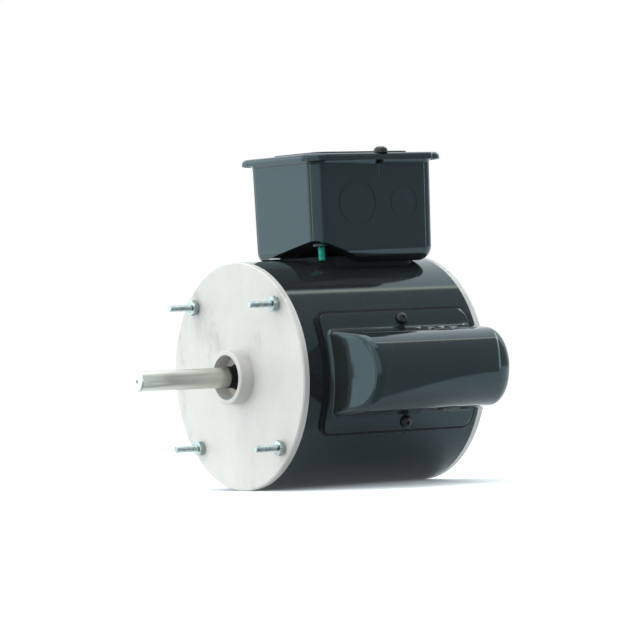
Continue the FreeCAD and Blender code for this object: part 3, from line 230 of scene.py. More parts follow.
# Where those parts lie, by the x, y and z of a direction
WALL_EDGE = 0.02
WALL_TOP = 0.77
NEAR_SIDE_Y = (-0.45, -0.15)
NEAR_SIDE_Z = (-0.1, 0.0)
HORIZON = 0.05
SEAM_X = -0.012
SEAM_HALF = 0.035
SEAM_Z = (0.35, 0.5)
DOORWAY_Y = 0.672
DOORWAY_EDGE = (0.016, 0.030)
DOORWAY_X = (-0.4, -0.2)
COOL_WHITE = (0.87, 0.96, 1.0)
WARM_WHITE = (1.0, 0.93, 0.78)

STUDIO_CENTRE = Vector((0.0, 0.07, 0.03))
# Name, azimuth, elevation, distance, size, radiance and colour
LIGHTS = (
    ("front_left_box", -50, 12, 1.6, (1.4, 1.4), 1.25, (0.75, 0.95, 1.0)),
    ("corner_strip", -8, 8, 1.6, (0.26, 1.4), 3.2, (1.0, 0.76, 0.46)),
    ("overhead_box", 0, 89, 1.5, (1.6, 1.6), 1.6, (1.0, 1.0, 1.0)),
)


def area_light(name, azimuth, elevation, distance, size, radiance, colour):
    """A soft box that faces the motor."""
    towards = direction(azimuth, elevation)
    data = bpy.data.lights.new(name, "AREA")
    data.shape = "RECTANGLE"
    data.size, data.size_y = size
    data.energy = radiance * math.pi * size[0] * size[1]
    data.color = colour
    light = bpy.data.objects.new(name, data)
    light.location = STUDIO_CENTRE + towards * distance
    light.rotation_euler = towards.to_track_quat("Z", "Y").to_euler()
    bpy.context.scene.collection.objects.link(light)


def make_floor():
    """
    A plain white floor. Past a line in front of the motor only the camera sees it, so that the lower
    half of the cover reflects a darker room.
    """
    half = FLOOR_HALF
    mesh = bpy.data.meshes.new("floor")
    corners = [(x, y, FLOOR_Z) for x, y in ((-half, -half), (half, -half), (half, half), (-half, half))]
    mesh.from_pydata(corners, [], [(0, 1, 2, 3)])
    floor = bpy.data.objects.new("floor", mesh)
    bpy.context.scene.collection.objects.link(floor)

    material, tree, shader = new_material("floor_white")
    shader.inputs["Base Color"].default_value = FLOOR_WHITE
    shader.inputs["Roughness"].default_value = 1.0
    shader.inputs["Specular IOR Level"].default_value = 0.0
    shader.inputs["Emission Color"].default_value = FLOOR_GLOW_WHITE
    shader.inputs["Emission Strength"].default_value = FLOOR_GLOW
    x, y, _ = coordinates(tree, "Object")
    past = spread(tree, maths(tree, "SUBTRACT", x, y), 0, 1,
                  FLOOR_LINE - FLOOR_LINE_BLUR, FLOOR_LINE + FLOOR_LINE_BLUR)
    path = node(tree, "ShaderNodeLightPath")
    unseen = maths(tree, "SUBTRACT", 1.0, path.outputs["Is Camera Ray"])
    clear = node(tree, "ShaderNodeBsdfTransparent")
    choice = node(tree, "ShaderNodeMixShader")
    tree.links.new(maths(tree, "MULTIPLY", past, unseen), choice.inputs[0])
    tree.links.new(shader.outputs["BSDF"], choice.inputs[1])
    tree.links.new(clear.outputs["BSDF"], choice.inputs[2])
    tree.links.new(choice.outputs["Shader"], tree.nodes["Material Output"].inputs["Surface"])
    mesh.materials.append(material)


def make_world():
    """
    A bright wall on the -X side that grows brighter upwards, a dimmer room on the +X side with more
    light behind the camera, a warm bright seam between the two overhead, and a narrow bright doorway
    beyond the rear end. The camera itself sees plain white behind the motor.
    """
    world = bpy.data.worlds.new("studio")
    world.use_nodes = True
    tree = world.node_tree
    background = tree.nodes["Background"]
    x, y, z = coordinates(tree, "Generated")

    wall = spread(tree, z, BRIGHT_LOW, BRIGHT_HIGH, 0.0, WALL_TOP)
    near_side = maths(tree, "MULTIPLY", spread(tree, y, NEAR_SIDE, 0, *NEAR_SIDE_Y),
                      spread(tree, z, 0, 1, *NEAR_SIDE_Z))
    room = maths(tree, "ADD", near_side, spread(tree, z, BELOW, DIM, -HORIZON, HORIZON))
    on_wall = spread(tree, x, 1, 0, -WALL_EDGE, WALL_EDGE)
    gain = maths(tree, "MULTIPLY", on_wall, maths(tree, "SUBTRACT", wall, room))
    walls = maths(tree, "ADD", gain, room)

    off_seam = maths(tree, "ABSOLUTE", maths(tree, "SUBTRACT", x, SEAM_X))
    seam = maths(tree, "MULTIPLY", spread(tree, off_seam, SEAM, 0, 0.0, SEAM_HALF),
                 spread(tree, z, 0, 1, *SEAM_Z))
    off_doorway = maths(tree, "ABSOLUTE", maths(tree, "SUBTRACT", y, DOORWAY_Y))
    doorway = maths(tree, "MULTIPLY", spread(tree, off_doorway, DOORWAY, 0, *DOORWAY_EDGE),
                    spread(tree, x, 0, 1, *DOORWAY_X))
    studio = maths(tree, "ADD", walls, maths(tree, "ADD", seam, doorway))

    path = node(tree, "ShaderNodeLightPath")
    seen = path.outputs["Is Camera Ray"]
    hidden = maths(tree, "MULTIPLY", studio, maths(tree, "SUBTRACT", 1.0, seen))
    tree.links.new(maths(tree, "ADD", hidden, seen), background.inputs["Strength"])
    tint = mixed(tree, maths(tree, "MINIMUM", seam, 1.0), COOL_WHITE, WARM_WHITE)
    tree.links.new(mixed(tree, seen, tint, (1.0, 1.0, 1.0)), background.inputs["Color"])
    bpy.context.scene.world = world


def make_studio():
    """The room, the floor and the soft boxes, shown without a film's tone curve."""
    bpy.context.scene.view_settings.view_transform = "Standard"
    make_world()
    make_floor()
    for light in LIGHTS:
        area_light(*light)


# ---------------------------------------------------------------- materials

# A tone runs from its dark colour to its light one as the noise rises from one of these to the other
TONE_FROM = 0.3
TONE_TO = 0.7

ENAMEL_DARK = (0.0140, 0.0155, 0.0150)
ENAMEL_LIGHT = (0.0154, 0.0172, 0.0166)
ENAMEL_DUST = (0.09, 0.10, 0.10)
ENAMEL_WORN = (0.05, 0.06, 0.06)
ENAMEL_TINT = (0.56, 0.88, 1.0, 1)
ENAMEL_ROUGH = (0.085, 0.105)
ENAMEL_EDGE = (0.62, 0.75)
ENAMEL_IOR = 1.5
DUST_ROUGH = 0.4
ORANGE_PEEL = 0.000004

# How much paler a dull piece is where it is rubbed
RUBBED = 2.0

CAST_TONES = [(0.30, (0.345, 0.33, 0.305)), (0.45, (0.53, 0.51, 0.485)), (0.7, (0.575, 0.555, 0.53))]
CAST_SPECKS = (0.22, 0.21, 0.19)
CAST_METALLIC = 0.10
CAST_ROUGH = (0.42, 0.60)
CAST_GRAIN = 0.00009
CAST_WAVES = 0.00004


def make_enamel():
    """Gloss black enamel with a trace of green, fine orange peel, faint dust and worn edges."""
    material, tree, shader = new_material("enamel_black")
    clouds = noise(tree, scale=30, detail=5)
    tone = ramp(tree, clouds, [(TONE_FROM, ENAMEL_DARK), (TONE_TO, ENAMEL_LIGHT)])
    dust = spread(tree, noise(tree, scale=900, detail=2, roughness=0.7), 0, 0.35, start=0.66, end=0.80)
    dusty = mixed(tree, dust, tone, ENAMEL_DUST)
    patches = spread(tree, noise(tree, scale=160, detail=4), 0, 0.5)
    wear = maths(tree, "MULTIPLY", edge_wear(tree, *ENAMEL_EDGE), patches)
    tree.links.new(mixed(tree, wear, dusty, ENAMEL_WORN), shader.inputs["Base Color"])
    rough = spread(tree, noise(tree, scale=45), *ENAMEL_ROUGH)
    dulled = maths(tree, "ADD", rough, maths(tree, "MULTIPLY", dust, DUST_ROUGH))
    tree.links.new(dulled, shader.inputs["Roughness"])
    shader.inputs["IOR"].default_value = ENAMEL_IOR
    shader.inputs["Specular Tint"].default_value = ENAMEL_TINT
    bump(tree, shader, noise(tree, scale=900, detail=2), ORANGE_PEEL)
    return material


def make_cast_aluminium():
    """Pale die-cast aluminium with a fine grain, flow stains and a few darker specks."""
    material, tree, shader = new_material("cast_aluminium")
    flow = noise(tree, scale=26, detail=6, roughness=0.62, stretch=(1, 0.4, 0.6))
    stained = ramp(tree, flow, CAST_TONES)
    specks = spread(tree, noise(tree, scale=900, detail=4, roughness=0.7), 0, 0.4, start=0.55, end=0.80)
    tree.links.new(mixed(tree, specks, stained, CAST_SPECKS), shader.inputs["Base Color"])
    shader.inputs["Metallic"].default_value = CAST_METALLIC
    rough = spread(tree, noise(tree, scale=240, detail=4), *CAST_ROUGH)
    tree.links.new(rough, shader.inputs["Roughness"])
    bump(tree, shader, noise(tree, scale=1100, detail=4, roughness=0.7), CAST_GRAIN)
    bump(tree, shader, noise(tree, scale=180, detail=2), CAST_WAVES)
    return material


def make_metal(name, dark, light, rough, grain=(1, 1, 1), scale=300, height=0.00001):
    """Bare metal: two tones, a range of roughness, and a grain stretched along an axis."""
    material, tree, shader = new_material(name)
    texture = noise(tree, scale, detail=4, roughness=0.6, stretch=grain)
    tone = ramp(tree, texture, [(TONE_FROM, dark), (TONE_TO, light)])
    grime = spread(tree, noise(tree, scale=55, detail=5, roughness=0.6), 0, 0.45, start=0.52, end=0.70)
    tree.links.new(mixed(tree, grime, tone, dark), shader.inputs["Base Color"])
    shader.inputs["Metallic"].default_value = 1.0
    tree.links.new(spread(tree, texture, *rough), shader.inputs["Roughness"])
    bump(tree, shader, texture, height)
    return material


def make_dull(name, dark, light, rough, scale=300, height=0.00002, gloss=0.25):
    """Plastic, rubber, paper or felt: two tones, rubbed edges, a range of roughness and a fine texture."""
    material, tree, shader = new_material(name)
    texture = noise(tree, scale, detail=4, roughness=0.6)
    tone = ramp(tree, texture, [(TONE_FROM, dark), (TONE_TO, light)])
    patches = spread(tree, noise(tree, scale=200, detail=4), 0, 0.6)
    wear = maths(tree, "MULTIPLY", edge_wear(tree), patches)
    rubbed = mixed(tree, wear, tone, tuple(min(1.0, RUBBED * part) for part in light))
    shader.inputs["Specular IOR Level"].default_value = gloss
    tree.links.new(rubbed, shader.inputs["Base Color"])
    tree.links.new(spread(tree, texture, *rough), shader.inputs["Roughness"])
    bump(tree, shader, texture, height)
    return material


# Slot, kind, dark tone, light tone, range of roughness, and what differs from the kind's usual values
FINISHES = (
    ("moulding_black", make_dull, (0.003, 0.004, 0.0045), (0.006, 0.0075, 0.008), (0.4, 0.55),
     {"gloss": 0.08}),
    ("zinc_steel", make_metal, (0.26, 0.31, 0.31), (0.52, 0.58, 0.57), (0.20, 0.34), {}),
    ("screw_black", make_dull, (0.003, 0.003, 0.0035), (0.008, 0.008, 0.0085), (0.25, 0.45),
     {"gloss": 0.4}),
    ("shaft_steel", make_metal, (0.51, 0.51, 0.465), (0.60, 0.60, 0.555), (0.28, 0.36),
     {"grain": (1, 0.08, 1), "scale": 500, "height": 0.000002}),
    ("rubber_black", make_dull, (0.002, 0.0025, 0.003), (0.005, 0.0055, 0.006), (0.55, 0.8), {}),
    ("sintered_bronze", make_metal, (0.50, 0.33, 0.16), (0.66, 0.46, 0.24), (0.4, 0.55), {}),
    ("spring_steel", make_metal, (0.50, 0.50, 0.52), (0.66, 0.66, 0.67), (0.25, 0.4), {}),
    ("felt", make_dull, (0.45, 0.38, 0.26), (0.66, 0.58, 0.42), (0.85, 1.0),
     {"scale": 2500, "height": 0.0002}),
    ("phenolic", make_dull, (0.16, 0.07, 0.03), (0.24, 0.11, 0.05), (0.35, 0.5), {}),
    ("lamination_steel", make_metal, (0.20, 0.21, 0.24), (0.36, 0.37, 0.40), (0.4, 0.6),
     {"grain": (0.02, 1, 0.02), "scale": 2000, "height": 0.00005}),
    ("enamelled_copper", make_metal, (0.50, 0.20, 0.08), (0.74, 0.36, 0.16), (0.25, 0.4),
     {"scale": 900, "height": 0.0002}),
    ("liner_paper", make_dull, (0.66, 0.62, 0.50), (0.80, 0.77, 0.66), (0.7, 0.9), {}),
    ("ground_green", make_metal, (0.03, 0.34, 0.27), (0.10, 0.62, 0.50), (0.2, 0.35), {}),
    ("can_aluminium", make_metal, (0.70, 0.70, 0.71), (0.82, 0.82, 0.83), (0.25, 0.4),
     {"grain": (1, 0.1, 1)}),
    ("tinned_brass", make_metal, (0.60, 0.58, 0.50), (0.76, 0.74, 0.66), (0.25, 0.4), {}),
    ("foam_black", make_dull, (0.02, 0.02, 0.02), (0.05, 0.05, 0.05), (0.9, 1.0),
     {"scale": 1800, "height": 0.0003}),
)


def make_materials():
    """The finishes, by the name of their material slot."""
    made = {"enamel_black": make_enamel(), "cast_aluminium": make_cast_aluminium()}
    for name, make, dark, light, rough, others in FINISHES:
        made[name] = make(name, dark, light, rough, **others)
    return made


MATERIALS = make_materials()


def dress_nodes():
    """Gives every CAD node the finish that its material slot names."""
    for name, thing in frame["nodes"].items():
        for place in thing.material_slots:
            place.material = MATERIALS[SLOTS[name]]


# ---------------------------------------------------------------- mesh code

MERGE_DISTANCE = 1e-6
EVEN_WEIGHT = 100
# How far a cutter stands out of what it cuts
CLEAR = 0.5
# The cosine and sine of each quarter turn, and the signs of a rectangle's corners in the same order
TURNS = ((1, 0), (0, 1), (-1, 0), (0, -1))
QUADRANTS = ((1, 1), (-1, 1), (-1, -1), (1, -1))
# A thread's flank: its height is the flat less the slope times the distance from its crest, in pitches
THREAD_FLAT = 1.3
THREAD_SLOPE = 3.2
# The cone that cuts a hexagon's corners: where it meets the end face, and how fast it widens
HEX_FACE = 0.97
HEX_SLOPE = 1.9
HEX_LEVELS = (0, 0.03, 0.07, 0.12, 0.18, 0.5, 0.82, 0.88, 0.93, 0.97, 1)
# The dome of a pan head, as shares of its radius and height
PAN_DOME = ((1.0, 0.0), (1.0, 0.26), (0.975, 0.42), (0.91, 0.60), (0.79, 0.77),
            (0.62, 0.90), (0.42, 0.97), (0.20, 1.0), (0.02, 1.0))
PAN_STEPS = 64
# How much of its arm and width a cross recess has above the head and at its bottom
RECESS_MOUTH = (1.1, 1.15)
RECESS_END = (0.45, 0.7)


def mesh_object(name, solid):
    """A mesh in the scene from (vertices, faces) in millimetres."""
    vertices, faces = solid
    mesh = bpy.data.meshes.new(name)
    mesh.from_pydata([Vector(point) * MM for point in vertices], [], faces)
    work = bmesh.new()
    work.from_mesh(mesh)
    bmesh.ops.remove_doubles(work, verts=work.verts, dist=MERGE_DISTANCE)
    bmesh.ops.dissolve_degenerate(work, edges=work.edges, dist=MERGE_DISTANCE)
    bmesh.ops.recalc_face_normals(work, faces=work.faces)
    work.to_mesh(mesh)
    work.free()
    thing = bpy.data.objects.new(name, mesh)
    bpy.context.scene.collection.objects.link(thing)
    return thing


def baked(thing):
    """The object, with its modifiers applied to its mesh."""
    bpy.context.view_layer.update()
    seen = thing.evaluated_get(bpy.context.evaluated_depsgraph_get())
    mesh = bpy.data.meshes.new_from_object(seen)
    thing.modifiers.clear()
    thing.data = mesh
    return thing


def frame_piece(thing, node_name, crease, weighted=False):
    """
    Shades a piece smooth up to the angle of a crease, gives it the finish of the CAD node that it
    stands for, and rides it on the frame.
    """
    for polygon in thing.data.polygons:
        polygon.use_smooth = True
    thing.data.set_sharp_from_angle(angle=math.radians(crease))
    if weighted:
        even = thing.modifiers.new("even", "WEIGHTED_NORMAL")
        even.keep_sharp = True
        even.weight = EVEN_WEIGHT
        baked(thing)
    thing.data.materials.clear()
    thing.data.materials.append(MATERIALS[SLOTS[node_name]])
    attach(thing, "frame")
    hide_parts(node_name)


def carved(solid, cutter):
    """A solid with another cut away from it."""
    body, tool = mesh_object("body", solid), mesh_object("tool", cutter)
    cut = body.modifiers.new("cut", "BOOLEAN")
    cut.object = tool
    cut.operation = "DIFFERENCE"
    cut.solver = "EXACT"
    mesh = baked(body).data
    vertices = [tuple(vertex.co / MM) for vertex in mesh.vertices]
    faces = [tuple(polygon.vertices) for polygon in mesh.polygons]
    bpy.data.objects.remove(body)
    bpy.data.objects.remove(tool)
    return vertices, faces


def loft(rings, closed=True):
    """Faces between neighbouring rings that have as many points each."""
    count = len(rings[0])
    faces = []
    for row in range(len(rings) - 1):
        a = row * count
        for i in range(count if closed else count - 1):
            j = (i + 1) % count
            faces.append((a + i, a + j, a + count + j, a + count + i))
    return faces


def skin(rings, closed=True):
    """Rings and the faces between them as (vertices, faces)."""
    return [point for ring in rings for point in ring], loft(rings, closed)


def capped(rings):
    """Closed rings as a solid, with a flat face over the first and the last."""
    count = len(rings[0])
    vertices, faces = skin(rings)
    last = len(vertices) - count
    return vertices, faces + [tuple(reversed(range(count))), tuple(range(last, last + count))]


def turned(profile, steps, radius_at=None):
    """(radius, height) pairs turned about z, as rings. radius_at may bend the radius at an angle."""
    rings = []
    for radius, height in profile:
        ring = []
        for step in range(steps):
            angle = 2 * math.pi * step / steps
            r = radius_at(angle, height) if radius_at else radius
            ring.append((r * math.cos(angle), r * math.sin(angle), height))
        rings.append(ring)
    return rings


def lathe(profile, steps, radius_at=None):
    """A turned solid whose first and last rings are closed by flat faces."""
    return capped(turned(profile, steps, radius_at))


def joined(solids):
    """Several (vertices, faces) as one."""
    vertices, faces = [], []
    for some_vertices, some_faces in solids:
        start = len(vertices)
        vertices += some_vertices
        faces += [tuple(start + i for i in face) for face in some_faces]
    return vertices, faces


def placed(solid, origin, up=(0, 0, 1), across=(1, 0, 0)):
    """A solid built about z, moved so that z points up and x points across."""
    z = Vector(up).normalized()
    x = (Vector(across) - z * z.dot(Vector(across))).normalized()
    turn = Matrix((x, z.cross(x), z)).transposed()
    vertices, faces = solid
    return [tuple(turn @ Vector(point) + Vector(origin)) for point in vertices], faces


def block(low, high):
    """A box between two opposite corners."""
    (x0, y0, z0), (x1, y1, z1) = low, high
    return capped([[(x0, y0, z), (x1, y0, z), (x1, y1, z), (x0, y1, z)] for z in (z0, z1)])


def rounded_rectangle(half_x, half_y, corner, steps):
    """The (x, y) points of a rectangle with rounded corners, each in so many steps."""
    points = []
    for turn, (sx, sy) in enumerate(QUADRANTS):
        for step in range(steps + 1):
            angle = math.pi / 2 * (turn + step / steps)
            points.append((sx * (half_x - corner) + corner * math.cos(angle),
                           sy * (half_y - corner) + corner * math.sin(angle)))
    return points


def thread(diameter, pitch, depth, start, end, steps=20, rows=8):
    """A threaded rod between two heights, with both of its ends chamfered."""
    minor = diameter / 2 - depth
    count = round((end - start) / pitch * rows)

    def radius_at(angle, height):
        turn = (height / pitch - angle / (2 * math.pi)) % 1.0
        rise = min(1.0, max(0.0, THREAD_FLAT - abs(turn - 0.5) * THREAD_SLOPE))
        return min(minor + depth * rise, minor + min(height - start, end - height))

    levels = [start + (end - start) * row / count for row in range(count + 1)]
    return lathe([(minor, level) for level in levels], steps, radius_at)


def hexagon(flats, bottom, top, chamfers=(True, True), steps=60):
    """A hexagonal nut or head whose corners are cut by a cone, with corners on its x axis."""
    sixth = math.pi / 3

    def radius_at(angle, height):
        r = flats / 2 / math.cos(angle % sixth - sixth / 2)
        for cut, gap in zip(chamfers, (height - bottom, top - height)):
            if cut:
                r = min(r, flats / 2 * HEX_FACE + gap * HEX_SLOPE)
        return r

    return lathe([(flats, bottom + (top - bottom) * level) for level in HEX_LEVELS], steps, radius_at)


def pan_head(diameter, height, arm, slot, depth):
    """A domed round screw head with a cross recess, standing on z = 0."""
    head = lathe([(diameter / 2 * r, height * z) for r, z in PAN_DOME], PAN_STEPS)
    rings = []
    for level, (reach, half) in ((height + CLEAR, RECESS_MOUTH), (height - depth, RECESS_END)):
        reach, half = arm * reach, slot * half
        quarter = [(reach, -half), (reach, half), (half, half)]
        rings.append([(c * x - s * y, s * x + c * y, level) for c, s in TURNS for x, y in quarter])
    return carved(head, capped(rings))


# ---------------------------------------------------------------- bolts, nuts and screws

# Half the side of the square that the four bolts stand on
BOLT_AT = 44.45
# Each bolt is turned by so many degrees more than the one before, so that no two stand alike
BOLT_TURN = 23
PITCH_32 = 25.4 / 32
STUD_DIA = 4.17
STUD_THREAD_DEPTH = 0.40
# How far over the nut's root the thread begins and the shank ends, and how far the shank enters the head
THREAD_OVER_NUT_ROOT = 0.4
SHANK_OVER_NUT_ROOT = 0.6
SHANK_IN_HEAD = 1.0
SHANK_R = 1.825
SHANK_STEPS = 24
BOLT_HEAD_FLATS = 6.35
BOLT_HEAD_HEIGHT = 2.8
NUT_FLATS = 8.73

# Pan heads: arm, slot and depth are those of the cross recess
LID_HEAD = {"diameter": 8.8, "height": 3.9, "arm": 2.2, "slot": 0.42, "depth": 1.7}
COVER_HEAD = {"diameter": 8.0, "height": 2.7, "arm": 2.0, "slot": 0.40, "depth": 1.3}
SCREW_DIA = 3.8
SCREW_THREAD_DEPTH = 0.36
SCREW_STEPS = 18
LID_SCREW_SLOTS = ((0.9, 0.4, 0), (0.5, 0.8, 0))
COVER_SCREW_SLOT = (0, 0.85, 0.5)
LID_THREAD_IN_HEAD = 0.4
COVER_THREAD_IN_HEAD = 0.3
COVER_THREAD_LENGTH = 4.5

GROUND_DIA = 4.83
GROUND_THREAD_DEPTH = 0.42
GROUND_THREAD_IN_HEAD = 0.3
GROUND_FLATS = 7.94
GROUND_HEAD_HEIGHT = 3.2
# The washer face of the head as (radius, height), and where the hexagon rises from it
GROUND_WASHER = ((4.9, 0), (5.1, 0.2), (5.1, 0.6), (4.7, 0.9))
GROUND_HEX_FROM = 0.5
GROUND_STEPS = 20
WASHER_STEPS = 48

SMALL_CREASE = 30


def limits(node_name):
    """The low and the high corner of a CAD node's box, in millimetres."""
    return [[value / MM for value in corner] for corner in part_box(node_name)]


def make_bolts():
    """Through-bolts: threaded studs in front, plain shanks inside, hexagon heads at the back."""
    tip, back = (-y for _, y, _ in limits("through_bolts"))
    nut_face, nut_root = (-y for _, y, _ in limits("stud_nuts"))
    bolt = joined([
        thread(STUD_DIA, PITCH_32, STUD_THREAD_DEPTH, nut_root + THREAD_OVER_NUT_ROOT, tip),
        lathe([(SHANK_R, back + SHANK_IN_HEAD), (SHANK_R, nut_root + SHANK_OVER_NUT_ROOT)], SHANK_STEPS),
        hexagon(BOLT_HEAD_FLATS, back, back + BOLT_HEAD_HEIGHT, (True, False)),
    ])
    nut = hexagon(NUT_FLATS, nut_root, nut_face)
    corners = [(x, 0, z) for x in (-BOLT_AT, BOLT_AT) for z in (-BOLT_AT, BOLT_AT)]
    for name, node_name, solid in (("threaded_studs", "through_bolts", bolt),
                                   ("hexagon_nuts", "stud_nuts", nut)):
        copies = []
        for number, corner in enumerate(corners):
            turn = math.radians(BOLT_TURN * number)
            copies.append(placed(solid, corner, (0, -1, 0), (math.cos(turn), 0, math.sin(turn))))
        frame_piece(mesh_object(name, joined(copies)), node_name, SMALL_CREASE)


def cross_screw(head, start, end):
    """A black cross-recessed screw with its head on z = 0 and its thread between two heights."""
    rod = thread(SCREW_DIA, PITCH_32, SCREW_THREAD_DEPTH, start, end, SCREW_STEPS)
    return joined([pan_head(**head), rod])


def make_lid_screws():
    """Two screws whose threaded tips show under the lid's lip."""
    (_, front, tip), (side, rear, top) = limits("lid_screws")
    seat = top - LID_HEAD["height"]
    radius = LID_HEAD["diameter"] / 2
    screw = cross_screw(LID_HEAD, tip - seat, LID_THREAD_IN_HEAD)
    places = ((side - radius, rear - radius, seat), (radius - side, front + radius, seat))
    solids = [placed(screw, place, across=slot) for place, slot in zip(places, LID_SCREW_SLOTS)]
    frame_piece(mesh_object("lid_pan_screws", joined(solids)), "lid_screws", SMALL_CREASE)


def make_cover_screws():
    """Two screws through the cover's flange."""
    (_, front, _), (_, rear, _) = limits("cover_screws")
    screw = cross_screw(COVER_HEAD, -COVER_THREAD_LENGTH, COVER_THREAD_IN_HEAD)
    solids = []
    for side in (-1, 1):
        turn = side * math.radians(COVER_SCREW_TURN)
        out = Vector((math.cos(turn), 0, math.sin(turn)))
        foot = out * COVER_FLANGE_R + Vector((0, (front + rear) / 2, 0))
        solids.append(placed(screw, foot, out, COVER_SCREW_SLOT))
    frame_piece(mesh_object("cover_pan_screws", joined(solids)), "cover_screws", SMALL_CREASE)


def ground_screw_seat():
    """The middle of the ground screw's washer face, and the height of its tip."""
    (x0, y0, tip), (x1, y1, top) = limits("ground_screw")
    return ((x0 + x1) / 2, (y0 + y1) / 2, top - GROUND_HEAD_HEIGHT), tip


def make_ground_screw():
    """Green hexagon washer-head screw whose thread stands out of the dent in the box's floor."""
    seat, tip = ground_screw_seat()
    screw = joined([
        thread(GROUND_DIA, PITCH_32, GROUND_THREAD_DEPTH, tip - seat[2], GROUND_THREAD_IN_HEAD,
               GROUND_STEPS),
        lathe(GROUND_WASHER, WASHER_STEPS),
        hexagon(GROUND_FLATS, GROUND_HEX_FROM, GROUND_HEAD_HEIGHT, (False, True)),
    ])
    frame_piece(mesh_object("ground_hex_screw", placed(screw, seat)), "ground_screw", SMALL_CREASE)


# ---------------------------------------------------------------- capacitor cover

SHELL_R = 71.45
COVER_FLANGE_R = 74.15
# How many degrees the flange's screws stand above and below the middle of the cover
COVER_SCREW_TURN = 25.49
COVER_FRONT = 17.0
COVER_REAR = 130.5
COVER_MIDDLE = (COVER_FRONT + COVER_REAR) / 2
COVER_HALF_LENGTH = (COVER_REAR - COVER_FRONT) / 2
COVER_HALF_TURN = math.pi / 6
COVER_HALF_ARC = COVER_FLANGE_R * COVER_HALF_TURN
COVER_CORNER = 6.0
COVER_CORNER_STEPS = 8
COVER_WALL = 1.2
COVER_RIM = 0.35
COVER_RIM_ANGLE = 60
COVER_CREASE = 50

# The tunnel: its round crown, and how much its sides and its front lean
CROWN_R = 24.7
CROWN_TOP = 116.0
DRAFT = math.radians(5.2)
FRONT_SLOPE = math.radians(5.5)
FRONT_FOOT = 20.2
REAR_PLANE = 129.3
# How long and how deep the end roundings are, on the sides and on the crown
FRONT_ROUND = ((4.5, 4.5), (4.8, 4.8))
REAR_ROUND = ((5.0, 5.0), (12.8, 8.4))
# The rounding at the foot, half the tunnel's width there, and the height over which it follows the shell
FOOT_FILLET = 2.4
FOOT_HALF = 26.0
FOOT_BLEND = 12.0
FOOT_R = COVER_FLANGE_R + FOOT_FILLET
FOOT_X = math.sqrt(FOOT_R ** 2 - FOOT_HALF ** 2)
# The notches pressed into either side near its foot: place along the cover, half length and depth
NOTCHES = ((91.5, 6.6, 3.0), (109.0, 6.4, 2.8))
NOTCH_TOP = 26.0
NOTCH_RISE = 2.5
NOTCH_FALL = 9.0

SIDE_STEPS = 16
CROWN_STEPS = 30
ROUND_STEPS = 12
ROW_SPACING = 1.4
# How far open the arches of an end face are, from its middle outwards
END_FACE = (0.0, 0.25, 0.5, 0.75)
FILLET_STEPS = 5
# Where the flange's rings lie between the fillet and the flange's edge
FLANGE_RINGS = (0.35, 0.7, 1.0)
FLANGE_REACH_MOST = 60.0
HALVINGS = 40

# The gasket past the flange, the spacing of its points, its inner edge as a share, and its two faces
GASKET_MARGIN = 2.2
GASKET_SPACING = 2.0
GASKET_INNER = 0.55
GASKET_LOW = SHELL_R + 0.05
GASKET_HIGH = SHELL_R + 1.45
GASKET_CREASE = 40


def eased(part):
    """0 to 1 with a level start and end."""
    part = min(1.0, part)
    return part * part * (3 - 2 * part)


def notch_depth(y, height):
    """How far a side is pushed in, at a height above its foot."""
    if not 0 < height < NOTCH_TOP:
        return 0.0
    along = sum(depth * math.exp(-abs((y - centre) / half) ** 3) for centre, half, depth in NOTCHES)
    return along * eased(height / NOTCH_RISE) * eased((NOTCH_TOP - height) / NOTCH_FALL)


def section():
    """
    The tunnel's section from foot to foot: x, z, the outward normal's x and z, and a share that is 0 on
    the sides and 1 on top of the crown.
    """
    centre = CROWN_TOP - CROWN_R
    apex = centre + CROWN_R / math.sin(DRAFT)
    tangent_x = centre + CROWN_R * math.sin(DRAFT)
    side = []
    for step in range(SIDE_STEPS):
        x = FOOT_X + (tangent_x - FOOT_X) * step / SIDE_STEPS
        side.append((x, (apex - x) * math.tan(DRAFT), math.sin(DRAFT), math.cos(DRAFT), 0.0))
    crown = []
    for step in range(CROWN_STEPS + 1):
        angle = DRAFT + (math.pi - 2 * DRAFT) * step / CROWN_STEPS
        out, over = math.sin(angle), math.cos(angle)
        crown.append((centre + CROWN_R * out, CROWN_R * over, out, over, max(0.0, out) ** 2))
    return side + crown + [(x, -z, nx, -nz, share) for x, z, nx, nz, share in reversed(side)]


def arch(rounding, turn, place_y, narrow=1.0):
    """
    One arch of the cover from foot to foot. turn runs down an end's rounding, from 0 on the tunnel to
    a right angle on the end face, and narrow squeezes the arch towards the middle plane.
    """
    (side_long, side_deep), (crown_long, crown_deep) = rounding
    points = []
    for x, z, nx, nz, crown in section():
        long = side_long + (crown_long - side_long) * crown
        deep = (side_deep + (crown_deep - side_deep) * crown) * (1 - math.cos(turn))
        y = place_y(x, long, long * math.sin(turn))
        x, z = x - nx * deep, z - nz * deep
        height = x - FOOT_X
        z = (z - math.copysign(notch_depth(y, height), z)) * narrow
        lift = math.sqrt(FOOT_R ** 2 - z ** 2) - FOOT_X
        points.append((x + lift * max(0.0, 1 - height / FOOT_BLEND), y, z))
    return points


def front_y(x, long, along):
    """Where an arch of the front rounding stands, on the front that leans back from its foot."""
    return FRONT_FOOT + (x - COVER_FLANGE_R) * math.tan(FRONT_SLOPE) + long - along


def rear_y(x, long, along):
    """Where an arch of the rear rounding stands."""
    return REAR_PLANE - long + along


